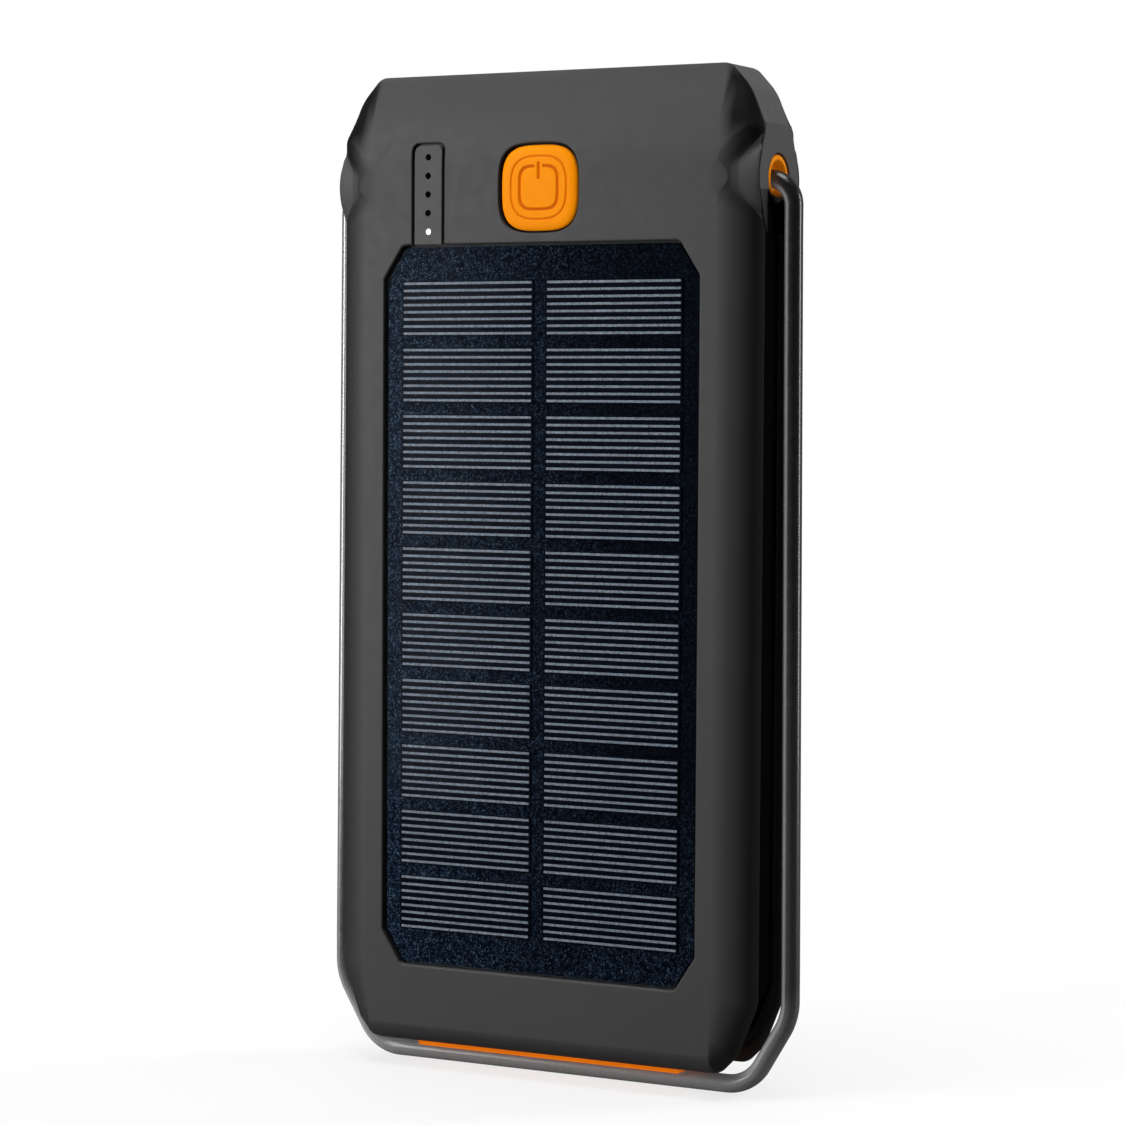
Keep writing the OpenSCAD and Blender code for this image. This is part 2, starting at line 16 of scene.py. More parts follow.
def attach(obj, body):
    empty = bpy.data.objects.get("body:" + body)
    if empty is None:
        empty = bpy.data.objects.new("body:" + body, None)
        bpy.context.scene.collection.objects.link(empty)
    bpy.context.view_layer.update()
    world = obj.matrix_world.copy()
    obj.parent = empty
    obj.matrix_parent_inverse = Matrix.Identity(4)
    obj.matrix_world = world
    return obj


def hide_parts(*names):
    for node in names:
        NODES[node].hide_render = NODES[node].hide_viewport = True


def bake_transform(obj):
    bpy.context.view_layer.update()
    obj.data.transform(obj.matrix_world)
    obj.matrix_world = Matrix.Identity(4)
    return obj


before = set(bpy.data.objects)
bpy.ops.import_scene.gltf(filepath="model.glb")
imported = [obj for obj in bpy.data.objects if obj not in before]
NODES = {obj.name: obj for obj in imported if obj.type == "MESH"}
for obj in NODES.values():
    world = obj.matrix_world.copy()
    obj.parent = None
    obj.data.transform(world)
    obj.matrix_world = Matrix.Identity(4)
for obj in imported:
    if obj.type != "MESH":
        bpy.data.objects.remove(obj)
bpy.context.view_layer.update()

scene = bpy.context.scene

# ---------------------------------------------------------------- sizes, mm
MM = 0.001
WIRE_R = 1.4                              # radius of the bail wire
BASE_Z = 4.4                              # base line of the casing above the floor
HALF_W, HALF_T, HEIGHT = 36.0, 8.5, 150.0
FACE_HALF_W = 29.7                        # half width of the flat face
SEAM_Y = 4.5                              # where the outer rounding starts
SLOPE_H = 9.4                             # height of the slope at the top of each face
CREASE = 2.0                              # softness of the crease between face and slope
SHELL_DROP = 0.6                          # the shells reach this far below the base line
FACE_TOP = 139.95                         # top of the capped part of the face
PIVOT_Z = 133.0
PANEL_W, PANEL_H, PANEL_Z = 53.4, 111.1, 12.3
PANEL_TOP = PANEL_Z + PANEL_H
DOT_X, DOT_R, DOT_PITCH = -19.3, 0.5, 2.85
DOTS = [125.75 + DOT_PITCH * i for i in range(5)]
BUTTON_Z = PIVOT_Z - 0.95
WINDOWS_Z, WINDOW_PITCH = 75.3, 18.0      # centre and pitch of the lamp windows
WINDOWS = [((i - 1) * WINDOW_PITCH, WINDOWS_Z + (j - 2.5) * WINDOW_PITCH)
           for i in range(3) for j in range(6)]


# ---------------------------------------------------------------- outlines in X and Z
def corner_arc(before, corner, after, radius, steps):
    """Points of the arc that rounds one corner."""
    u = before - corner
    u = u / np.hypot(*u)
    v = after - corner
    v = v / np.hypot(*v)
    angle = math.acos(max(-1, min(1, float(u @ v))))
    reach = radius / math.tan(angle / 2)
    middle = u + v
    middle = middle / np.hypot(*middle)
    centre = corner + middle * (radius / math.sin(angle / 2))
    first, last = corner + u * reach - centre, corner + v * reach - centre
    start = math.atan2(first[1], first[0])
    turn = (math.atan2(last[1], last[0]) - start + 3 * math.pi) % (2 * math.pi) - math.pi
    angles = [start + turn * i / steps for i in range(steps + 1)]
    return [centre + radius * np.array([math.cos(a), math.sin(a)]) for a in angles]


def soften_outline(corners, radii, steps, edge_points=None):
    """Closed outline with rounded corners; edge_points gives fractions along edge i."""
    P = [np.array(p, float) for p in corners]
    count = len(P)
    radii = np.broadcast_to(radii, (count,))
    arcs = [corner_arc(P[i - 1], P[i], P[(i + 1) % count], radii[i], steps)
            for i in range(count)]
    out = []
    for i in range(count):
        out += arcs[i]
        a, b = arcs[i][-1], arcs[(i + 1) % count][0]
        out += [a + (b - a) * f for f in (edge_points or {}).get(i, [])]
    return np.array(out)


def mirrored(right):
    """Complete an outline from its right half."""
    return right + [(-x, z) for x, z in right[::-1]]


def circle(x, z, radius, count=24):
    t = np.linspace(0, 2 * math.pi, count, endpoint=False)
    return np.stack([x + radius * np.cos(t), z + radius * np.sin(t)], 1)


def squircle(width, count=96, power=3.3):
    t = np.linspace(0, 2 * math.pi, count, endpoint=False)
    c, s = np.cos(t), np.sin(t)
    return width / 2 * np.stack([np.sign(c) * np.abs(c) ** (2 / power),
                                 np.sign(s) * np.abs(s) ** (2 / power)], 1)


def smooth_min(a, b, k):
    return np.minimum(a, b) - np.maximum(k - np.abs(a - b), 0) ** 2 / (4 * k)


# Casing corners run down the right side from the top, then up the left side.
CORNER_R = np.array([2.5, 9, 4, 6, 6, 3, 3, 6, 6, 4, 9, 2.5])
CORNER_STEPS = 7


def casing_corners(side, top, base, corner=1):
    """Casing corners for the given insets; corner scales the two upper chamfers."""
    x, z = HALF_W - side, HEIGHT - top
    return mirrored([
        (30 - side * 0.045, z), (33.4 - side * 0.58, z - 3.7 * corner),
        (x, z - 9.8 * corner), (x, 10.5 + base * 0.4),
        (32.7 - side * 0.53, 2.8 + base), (29.9 - side * 0.06, base)])


# Extra points along the casing edges, as fractions: close together beside the pivot
SIDE_Z = list(np.arange(139.0, 123.0, -0.45)) + [121, 117, 110, 100, 88, 74, 60, 46, 33, 23, 16]
SIDE_DOWN = [1 - (z - 11.5) / 128.0 for z in SIDE_Z]
SIDE_UP = [1 - f for f in SIDE_DOWN[::-1]]
WIDE = [0.008, 0.03] + [i / 12 for i in range(1, 12)] + [0.97, 0.992]
THIRDS, HALF = [0.33, 0.66], [0.5]
EDGE_POINTS = {0: THIRDS, 1: THIRDS, 2: SIDE_DOWN, 3: HALF, 4: HALF, 5: WIDE,
               6: HALF, 7: HALF, 8: SIDE_UP, 9: THIRDS, 10: THIRDS, 11: WIDE}


def casing_outline(corners, radii=CORNER_R):
    return soften_outline(corners, radii, CORNER_STEPS, EDGE_POINTS)


def slope_y(drop):
    """Depth of the outer face at a drop below the top."""
    return smooth_min(HALF_T, SEAM_Y + drop * (HALF_T - SEAM_Y) / SLOPE_H, CREASE)


def face_y(z):
    """Depth of the outer face at height z, away from the sides."""
    return slope_y(HEIGHT - np.asarray(z, float))


SLOPE_DROPS = np.linspace(0, 12.5, 500)
SLOPE_DEPTHS = slope_y(SLOPE_DROPS)
LEVELS = 241


def level_outline(angle):
    """Outline of the casing at one angle of the rounding, 0 at the seam."""
    rise, inset = math.sin(angle), 1 - math.cos(angle)
    top = np.interp(SEAM_Y + (HALF_T - SEAM_Y) * rise, SLOPE_DEPTHS, SLOPE_DROPS)
    corner = 1 - 0.985 * rise
    return casing_outline(
        casing_corners((HALF_W - FACE_HALF_W) * inset, top, 3.2 * inset - SHELL_DROP, corner),
        CORNER_R * max(corner, 0.1))


# level, column, (x, z)
OUTLINES = np.array([level_outline(a) for a in np.linspace(0, math.pi / 2, LEVELS)])


def outline_at(y):
    """Outline point of each column at that column's own depth y."""
    angle = np.arcsin(np.clip((y - SEAM_Y) / (HALF_T - SEAM_Y), 0, 1))
    level = angle / (math.pi / 2) * (LEVELS - 1)
    i = np.clip(level.astype(int), 0, LEVELS - 2)
    f = (level - i)[:, None]
    column = np.arange(OUTLINES.shape[1])
    return OUTLINES[i, column] * (1 - f) + OUTLINES[i + 1, column] * f


def eye_profile(dz, gap):
    """Half depth of the eye-shaped opening round the pivot, dz from its centre."""
    radius, tip, reach = 6.9 + gap, 4.3 + gap, 8 + 1.4 * gap
    a = np.abs(dz)
    join_z, join_y = 0.36 * radius, 0.933 * radius
    line = join_y + (a - join_z) / (reach - join_z) * (tip - join_y)
    arc = np.sqrt(np.maximum(radius * radius - a * a, 0))
    return np.where(a < join_z, arc, np.where(a < reach, line, 0))


EYE_X = 30.6        # the seam opens round the eye outside this x
SEAM_LINE = np.maximum(SEAM_Y, np.where(
    np.abs(OUTLINES[0, :, 0]) > EYE_X,
    eye_profile(OUTLINES[0, :, 1] - PIVOT_Z, gap=0.15), 0))


def push_boss(P, y):
    """Push the sides of an outline outwards over the pivot boss."""
    P = P.copy()
    x = np.abs(P[:, 0])
    rho = np.hypot(y, P[:, 1] - PIVOT_Z)
    cone = smooth_min(HALF_W, 31.6 + (8.49 - rho) * 4.68, 1.2)
    k = np.clip(HALF_W - x, 0.02, 0.35)
    merged = np.maximum(x, cone) + np.maximum(k - np.abs(x - cone), 0) ** 2 / (4 * k)
    near = (rho < 10.2) & (x > 26)
    P[:, 0] = np.where(near, np.sign(P[:, 0]) * np.minimum(merged, HALF_W), P[:, 0])
    return P


# ---------------------------------------------------------------- mesh builder, mm
def inside(point, polygon):
    x, y = point
    x0, y0 = polygon[:, 0], polygon[:, 1]
    x1, y1 = np.roll(x0, -1), np.roll(y0, -1)
    crossed = ((y0 > y) != (y1 > y)) & (x < (x1 - x0) * (y - y0) / (y1 - y0 + 1e-30) + x0)
    return bool(crossed.sum() % 2)


class Build:
    """Collects points and faces; a loop is a list of point indices."""

    def __init__(self):
        self.points, self.faces, self.slots = [], [], []

    def ring(self, points):
        start = len(self.points)
        self.points += [tuple(map(float, p)) for p in points]
        return list(range(start, start + len(points)))

    def flat(self, outline, y):
        """Loop from an X-Z outline at depth y, one value or one per point."""
        y = np.broadcast_to(y, (len(outline),))
        return self.ring([(p[0], depth, p[1]) for p, depth in zip(outline, y)])

    def copy(self, loop, y):
        return self.ring([(self.points[i][0], y, self.points[i][2]) for i in loop])

    def face(self, loop, slot=0):
        self.faces.append(list(loop))
        self.slots.append(slot)

    def bridge(self, a, b, slot=0):
        for i in range(len(a)):
            j = (i + 1) % len(a)
            self.face([a[i], a[j], b[j], b[i]], slot)

    def chain(self, loops, slot=0):
        for a, b in zip(loops[:-1], loops[1:]):
            self.bridge(a, b, slot)

    def fan(self, loop, slot=0):
        centre = self.ring([np.mean([self.points[i] for i in loop], axis=0)])[0]
        for i in range(len(loop)):
            self.face([loop[i], loop[(i + 1) % len(loop)], centre], slot)

    def face_grid(self, covered, edges, side):
        """Inner points on the casing face, kept clear of the edges."""
        rows = list(np.arange(5, 128, 4.1)) + list(np.arange(128, 139.8, 0.8))
        return self.ring([
            (x, side * float(face_y(z)), z)
            for z in rows for x in np.arange(-28.5, 28.6, 1.9)
            if np.hypot(*(edges - [x, z]).T).min() > 0.5 and covered((x, z))])

    def cap(self, outer, holes=(), side=0):
        """Triangulate between loops; side, the sign of y, adds points on the casing face."""
        loops = [outer, *holes]
        index = [i for loop in loops for i in loop]
        polygons = [np.array([self.points[i][::2] for i in loop]) for loop in loops]

        def covered(p):
            return inside(p, polygons[0]) and not any(inside(p, q) for q in polygons[1:])

        if side:
            index = index + self.face_grid(covered, np.vstack(polygons), side)
        edges, start = [], 0
        for loop in loops:
            count = len(loop)
            edges += [(start + i, start + (i + 1) % count) for i in range(count)]
            start += count
        flat, _, triangles, sources, _, _ = delaunay_2d_cdt(
            [Vector(self.points[i][::2]) for i in index], edges, [], 1, 1e-7, True)
        # where two loops cross, the triangulation makes a point of its own
        y = self.points[outer[0]][1]
        back = [index[s[0]] if len(s) else self.ring([(flat[i][0], y, flat[i][1])])[0]
                for i, s in enumerate(sources)]
        for t in triangles:
            if covered(np.mean([[flat[i][0], flat[i][1]] for i in t], axis=0)):
                self.face([back[i] for i in t])


def piece(name, build, body, slot, replaced=None, materials=None, angle=38, weighted=True,
          light_shade_mark=None):
    """Turn a build into an object; its materials default to the one named by its slot."""
    points = np.array(build.points, float)
    points[:, 2] += BASE_Z
    points *= MM
    mesh = bpy.data.meshes.new(name)
    mesh.from_pydata(points.tolist(), [], build.faces)
    for key in materials or [slot]:
        mesh.materials.append(MATERIALS[key])
    mesh.polygons.foreach_set("material_index", build.slots)
    if light_shade_mark is not None:
        attribute = mesh.attributes.new("light_shade_mark", "FLOAT", "POINT")
        attribute.data.foreach_set("value", np.asarray(light_shade_mark, np.float32))
    bm = bmesh.new()
    bm.from_mesh(mesh)
    bmesh.ops.remove_doubles(bm, verts=bm.verts, dist=2e-7)
    bmesh.ops.dissolve_degenerate(bm, dist=1e-8, edges=bm.edges)
    bmesh.ops.recalc_face_normals(bm, faces=bm.faces)
    bm.to_mesh(mesh)
    bm.free()
    mesh.update()
    obj = bpy.data.objects.new(name, mesh)
    scene.collection.objects.link(obj)
    mesh.polygons.foreach_set("use_smooth", [True] * len(mesh.polygons))
    mesh.set_sharp_from_angle(angle=math.radians(angle))
    if weighted:
        normals = obj.modifiers.new("normals", "WEIGHTED_NORMAL")
        normals.keep_sharp = True
        normals.weight = 60
    if body:
        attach(obj, body)
    if replaced:
        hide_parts(replaced)
    return obj


# ---------------------------------------------------------------- shader helpers
MATERIALS = {}
SPAN = (0.3, 0.7)       # the range most noise values fall in
WHITE = (1, 1, 1)


class Nodes:
    def __init__(self, tree):
        self.tree = tree
        tree.nodes.clear()

    def node(self, kind, inputs=None, **settings):
        """Add a node, link or set its inputs, and return its outputs."""
        node = self.tree.nodes.new("ShaderNode" + kind)
        for key, value in settings.items():
            setattr(node, key, value)
        for key, value in (inputs or {}).items():
            socket = node.inputs[key]
            if isinstance(value, bpy.types.NodeSocket):
                self.tree.links.new(value, socket)
            else:
                if socket.type == "RGBA" and len(value) == 3:
                    value = (*value, 1)
                socket.default_value = value
        return node.outputs

    def remap(self, value, span, to=(0, 1), clamp=True):
        return self.node("MapRange", {
            "Value": value, "From Min": span[0], "From Max": span[1],
            "To Min": to[0], "To Max": to[1]}, clamp=clamp)[0]

    def math(self, operation, a, b=0.0):
        return self.node("Math", {0: a, 1: b}, operation=operation)[0]

    def plus(self, a, b):
        return self.math("ADD", a, b)

    def times(self, a, b):
        return self.math("MULTIPLY", a, b)

    def largest(self, a, b):
        return self.math("MAXIMUM", a, b)

    def size(self, a):
        return self.math("ABSOLUTE", a)

    def less(self, a):
        """One minus a."""
        return self.math("SUBTRACT", 1.0, a)

    def split(self, vector):
        return self.node("SeparateXYZ", {0: vector})

    def blend(self, factor, a, b):
        """Mix two shaders."""
        return self.node("MixShader", {0: factor, 1: a, 2: b})[0]


class Material(Nodes):
    def __init__(self, name):
        material = MATERIALS[name] = bpy.data.materials.new(name)
        material.use_nodes = True
        super().__init__(material.node_tree)

    def coords(self, scale=(1000, 1000, 1000)):
        """Object coordinates, in mm by default."""
        at = self.node("TexCoord")["Object"]
        return self.node("Mapping", {"Vector": at, "Scale": scale})[0]

    def normals(self):
        return self.split(self.node("TexCoord")["Normal"])

    def noise(self, at, scale, seed, detail=2.0, rough=0.5):
        return self.node("TexNoise", {"Vector": at, "Scale": scale, "Detail": detail,
                                      "Roughness": rough, "W": seed},
                         noise_dimensions="4D")["Fac"]

    def flakes(self, at, scale):
        """Three random values per flake."""
        cells = self.node("TexVoronoi", {"Vector": at, "Scale": scale}, feature="F1")
        return self.node("SeparateColor", {0: cells["Color"]})

    def mix(self, factor, a, b, mode="MIX"):
        return self.node("Mix", {0: factor, 6: a, 7: b}, data_type="RGBA", blend_type=mode)[2]

    def bump(self, height, depth, under=None, strength=1.0):
        """Bump of a depth in mm, on top of the normal under it."""
        inputs = {"Height": height, "Distance": depth * MM, "Strength": strength}
        if under is not None:
            inputs["Normal"] = under
        return self.node("Bump", inputs)[0]

    def surface(self, shader):
        self.node("OutputMaterial", {"Surface": shader})

    def principled(self, color, roughness, normal, more=None):
        self.surface(self.node("BsdfPrincipled", {
            "Base Color": color, "Roughness": roughness, "Normal": normal, **(more or {})})[0])


def rgb(*channels):
    """sRGB 0-255 to linear."""
    return tuple((c / 255) / 12.92 if c <= 10.3 else ((c / 255 + 0.055) / 1.055) ** 2.4
                 for c in channels)


def scaled(color, k):
    return tuple(min(1, c * k) for c in color)


def around(middle, spread):
    return (middle - spread, middle + spread)


# ---------------------------------------------------------------- materials
def painted_recess_shade(mat, at, below):
    """Painted shade: 1 in the recess under a height in mm, where the frame turns near-black as if
    shadowed, a little less towards the outer faces.
    """
    _, y, z = mat.split(at)
    depth = mat.size(y)
    painted_shade_mask = mat.times(mat.remap(z, (below - 0.15, below + 0.15), to=(1, 0)),
                     mat.remap(depth, (3.7, 4.5), to=(1, 0.6)))
    return mat.largest(painted_shade_mask, mat.remap(z, (below - 6.4, below - 6.2), to=(1, 0)))


def painted_rounding_shade(mat, at, fall):
    """Painted shade that drops quickly on the long roundings and on the top corners, with painted
    shadow close round the pivot bosses and painted light on the bosses.
    """
    nx = mat.size(mat.normals()[0])
    light_shade_mark = mat.node("Attribute", attribute_name="light_shade_mark")["Fac"]
    z = mat.split(at)[2]
    x = mat.size(mat.split(at)[0])
    # painted shade on the top corners
    top = mat.largest(
        mat.times(mat.remap(nx, (0.08, 0.40)), mat.remap(z, (138, 146), to=(0, 0.85))),
        mat.times(mat.remap(x, (30.1, 31.9)), mat.remap(z, (141, 146), to=(0, 0.85))))
    shade = mat.times(mat.remap(nx, (0.10, 0.75), to=(1.0, fall)), mat.less(top))
    # painted shadow close round the pivot bosses and painted light on them
    shade = mat.plus(shade, mat.math("MINIMUM", light_shade_mark, 0.0))
    darkest, boss_painted_light = 0.16, 1.5
    return mat.largest(mat.largest(shade, darkest), mat.times(light_shade_mark, boss_painted_light))


def plastic(name, color, rough, tone, grain=5, depth=0.01, rough_tone=0.05, wear=0,
            wear_color=None, spec=0.5, speck=0, below=None, fall=None, painted_glow=0):
    """Grained plastic: tone is the colour variation, depth the grain depth in mm,
    wear lightens edges, speck adds light dots, below paints shade into a recess, fall paints
    shade on the roundings and light on the pivot bosses, and the last one paints a glow in the
    base colour."""
    mat = Material(name)
    at = mat.coords()
    big = mat.noise(at, scale=0.045, seed=1.3, detail=3, rough=0.55)
    mid = mat.noise(at, scale=0.55, seed=2.1, detail=4, rough=0.6)
    fine = mat.noise(at, scale=grain, seed=3.7, rough=0.6)
    c = mat.mix(mat.remap(big, SPAN), scaled(color, 1 - tone), scaled(color, 1 + tone))
    c = mat.mix(mat.remap(mid, (0.35, 0.75), to=(0, 0.35)), c, scaled(color, 1 - tone * 1.6))
    c = mat.mix(mat.remap(fine, (0.35, 0.7), to=(0, 0.5)), c, scaled(color, 1 + tone * 0.8))
    if speck:
        dots = mat.noise(at, scale=grain * 2.3, seed=8.8, detail=1)
        c = mat.mix(mat.remap(dots, (0.62, 0.72), to=(0, speck)), c, scaled(color, 1.9))
    if wear:
        edge = mat.node("NewGeometry")["Pointiness"]
        worn = mat.times(mat.remap(edge, (0.515, 0.60), to=(0, wear)),
                         mat.remap(mid, (0.3, 0.62), to=(0.25, 1.0)))
        c = mat.mix(worn, c, wear_color or scaled(color, 1.9))
    if below is not None:
        # painted shade: near-black and without gloss in the recess below that height
        painted_shade_mask = painted_recess_shade(mat, at, below)
        c = mat.mix(painted_shade_mask, c, rgb(9, 9, 9))
        spec = mat.times(mat.less(painted_shade_mask), spec)
    if fall is not None:
        # painted shade on the roundings and painted light on the pivot bosses
        shade = painted_rounding_shade(mat, at, fall)
        spec = mat.times(mat.math("MINIMUM", shade, 1.0), spec)
        c = mat.mix(1.0, c, shade, "MULTIPLY")
    roughness = mat.plus(mat.remap(mid, SPAN, to=around(rough, rough_tone)),
                         mat.remap(fine, SPAN, to=around(0, rough_tone * 0.6)))
    wave = mat.noise(at, scale=0.35, seed=5.0)
    normal = mat.bump(wave, depth * 1.5, under=mat.bump(fine, depth), strength=0.5)
    more = {"Specular IOR Level": spec, "Coat Weight": 0.0, "Coat Roughness": 0.1}
    # painted glow in the base colour
    if painted_glow:
        more |= {"Emission Color": c, "Emission Strength": painted_glow}
    mat.principled(c, roughness, normal, more)


def metal(name, color, rough):
    mat = Material(name)
    brushed = mat.noise(mat.coords((1000, 1000, 14000)), scale=0.7, seed=0.4, detail=3,
                        rough=0.6)
    cloud = mat.noise(mat.coords(), scale=0.4, seed=4.2, detail=3, rough=0.6)
    c = mat.mix(mat.remap(cloud, SPAN), scaled(color, 0.88), scaled(color, 1.12))
    c = mat.mix(mat.remap(brushed, SPAN, to=(0, 0.4)), c, scaled(color, 0.75))
    roughness = mat.plus(mat.remap(brushed, SPAN, to=around(rough, 0.08)),
                         mat.remap(cloud, SPAN, to=(-0.05, 0.06)))
    mat.principled(c, roughness, mat.bump(brushed, depth=0.004), {"Metallic": 1.0})


def solar_panel(name):
    """Dark panel with dense blue-grey flakes, with painted light that makes them brighter towards
    -X and the base.
    """
    mat = Material(name)
    at = mat.coords()
    large, small = mat.flakes(at, scale=3.3), mat.flakes(at, scale=5.2)
    cloud = mat.noise(at, scale=0.05, seed=7.0, detail=3, rough=0.6)
    x, _, z = mat.split(at)
    # painted light: more and brighter flakes towards -X and towards the base
    left = mat.remap(x, (-27, 14), to=(1.0, 0.12))
    low = mat.remap(z, (60, 18), to=(0.0, 0.45))
    amount = mat.times(mat.largest(left, low),
                       mat.remap(cloud, SPAN, to=(0.75, 1.15), clamp=False))
    c = mat.mix(amount, rgb(2, 3, 8), rgb(12, 22, 34))
    c = mat.mix(mat.times(mat.remap(large[0], (0.45, 1.0), to=(0, 0.85)), amount),
                c, rgb(52, 70, 88))
    c = mat.mix(mat.times(mat.remap(small[1], (0.80, 1.0), to=(0, 0.9)), amount),
                c, rgb(104, 122, 138))
    c = mat.mix(mat.remap(large[2], (0.0, 0.35), to=(0.85, 0)), c, rgb(1, 3, 8))
    mat.principled(c, mat.remap(small[0], (0, 1), to=(0.4, 0.65)),
                   mat.bump(large[1], depth=0.006), {"Specular IOR Level": 0.02})


def silicon(name):
    mat = Material(name)
    at = mat.coords()
    flakes = mat.flakes(at, scale=3.0)
    cloud = mat.noise(at, scale=0.09, seed=1.1, detail=3, rough=0.6)
    c = mat.mix(mat.remap(flakes[0], (0.3, 1)), rgb(3, 6, 15), rgb(7, 13, 27))
    c = mat.mix(mat.remap(cloud, (0.35, 0.7), to=(0, 0.6)), c, rgb(4, 10, 20))
    mat.principled(c, mat.remap(flakes[1], (0, 1), to=(0.28, 0.42)),
                   mat.bump(flakes[2], depth=0.003), {"Specular IOR Level": 0.03})


def cell_silver(name):
    mat = Material(name)
    at = mat.coords()
    grain = mat.noise(at, scale=2.6, seed=1.9, detail=4, rough=0.75)
    cloud = mat.noise(at, scale=0.08, seed=6.1)
    c = mat.mix(mat.remap(grain, (0.38, 0.62)), rgb(98, 103, 106), rgb(190, 192, 192))
    c = mat.mix(mat.remap(cloud, SPAN, to=(0, 0.4)), c, rgb(124, 128, 132))
    mat.principled(c, mat.remap(grain, SPAN, to=(0.42, 0.62)), mat.bump(grain, depth=0.01),
                   {"Metallic": 0.1, "Specular IOR Level": 0.3})


def film(name, tint, amount):
    """Clear film; amount scales its reflection."""
    mat = Material(name)
    at = mat.coords()
    wave = mat.noise(at, scale=0.08, seed=2.0)
    grain = mat.noise(at, scale=1.3, seed=4.0, detail=3, rough=0.6)
    normal = mat.bump(grain, depth=0.003, under=mat.bump(wave, depth=0.06, strength=0.6))
    clear = mat.node("BsdfTransparent", {"Color": tint})[0]
    gloss = mat.node("BsdfGlossy", {
        "Color": WHITE, "Roughness": mat.remap(grain, SPAN, to=(0.063, 0.126)),
        "Normal": normal})[0]
    fresnel = mat.node("Fresnel", {"IOR": 1.45, "Normal": normal})[0]
    lit = mat.less(mat.node("LightPath")["Is Shadow Ray"])
    mat.surface(mat.blend(mat.times(mat.times(fresnel, amount), lit), clear, gloss))


def clear_plastic(name):
    """Glass that lets shadow and diffuse rays straight through."""
    mat = Material(name)
    tint = (0.97, 0.985, 0.99)
    cloud = mat.noise(mat.coords(), scale=0.5, seed=4.0, detail=3, rough=0.6)
    glass = mat.node("BsdfGlass", {
        "Color": tint, "Roughness": mat.remap(cloud, SPAN, to=(0.015, 0.048)), "IOR": 1.47,
        "Normal": mat.bump(cloud, depth=0.02)})[0]
    through = mat.node("BsdfTransparent", {"Color": tint})[0]
    path = mat.node("LightPath")
    skip = mat.largest(path["Is Shadow Ray"], path["Is Diffuse Ray"])
    mat.surface(mat.blend(skip, glass, through))


def glow(name, color, power):
    mat = Material(name)
    grain = mat.noise(mat.coords(), scale=2.0, seed=1.0)
    mat.principled(color, mat.remap(grain, SPAN, to=(0.2, 0.35)), mat.bump(grain, depth=0.01), {
        "Emission Color": color,
        "Emission Strength": mat.remap(grain, SPAN, to=(power * 0.85, power * 1.1))})


def orange(name, color, rough, painted_glow, grain=9.0, depth=0.006, scatter=0.05, spec=0.12,
           groove=None, shade=None):
    """Day-glow orange colour with a painted glow from its emission strength: groove paints shade
    into the marked grooves, shade is the height in mm below which painted shade turns it dark."""
    mat = Material(name)
    at = mat.coords()
    big = mat.noise(at, scale=0.09, seed=2.3)
    fine = mat.noise(at, scale=grain, seed=0.7, rough=0.6)
    mid = mat.noise(at, scale=0.9, seed=5.5, detail=3, rough=0.6)
    c = mat.mix(mat.remap(big, SPAN), scaled(color, 0.93), scaled(color, 1.05))
    c = mat.mix(mat.remap(mid, (0.4, 0.75), to=(0, 0.3)), c, scaled(color, 0.85))
    if groove is not None:
        # painted shade in the grooves of the button
        c = mat.mix(mat.node("Attribute", attribute_name="light_shade_mark")["Fac"], c, groove)
    if shade is not None:
        # painted shade: the ring turns dark brown below that height, under the wire
        z = mat.split(at)[2]
        c = mat.mix(mat.remap(z, (shade - 0.5, shade + 0.6), to=(1, 0)), c, rgb(20, 14, 8))
    roughness = mat.plus(mat.remap(mid, SPAN, to=around(rough, 0.06)),
                         mat.remap(fine, SPAN, to=around(0, 0.04)))
    # painted glow in its own colour
    mat.principled(c, roughness, mat.bump(fine, depth), {
        "Specular IOR Level": spec, "Coat Weight": 0.0, "Coat Roughness": 0.12,
        "Subsurface Weight": scatter, "Subsurface Radius": (1, 0.3, 0.1),
        "Subsurface Scale": 0.0008, "Emission Color": c, "Emission Strength": painted_glow})


def circuit_board(name, color):
    mat = Material(name)
    at = mat.coords()
    cloud = mat.noise(at, scale=1.2, seed=1.0, detail=3, rough=0.6)
    weave = mat.noise(at, scale=8, seed=2.0)
    c = mat.mix(mat.remap(cloud, (0.35, 0.65)), scaled(color, 0.85), scaled(color, 1.12))
    c = mat.mix(mat.remap(weave, (0.5, 0.7), to=(0, 0.3)), c, scaled(color, 1.3))
    mat.principled(c, mat.remap(cloud, SPAN, to=(0.32, 0.5)), mat.bump(weave, depth=0.01),
                   {"Coat Weight": 0.3, "Coat Roughness": 0.2})


def foil(name):
    mat = Material(name)
    at = mat.coords()
    crumple = mat.noise(at, scale=0.25, seed=1.0, detail=4, rough=0.6)
    grain = mat.noise(at, scale=3, seed=2.0)
    c = mat.mix(mat.remap(crumple, SPAN), (0.5, 0.51, 0.53), (0.66, 0.67, 0.69))
    normal = mat.bump(grain, depth=0.02, under=mat.bump(crumple, depth=0.15))
    mat.principled(c, mat.remap(crumple, SPAN, to=(0.28, 0.45)), normal, {"Metallic": 0.9})


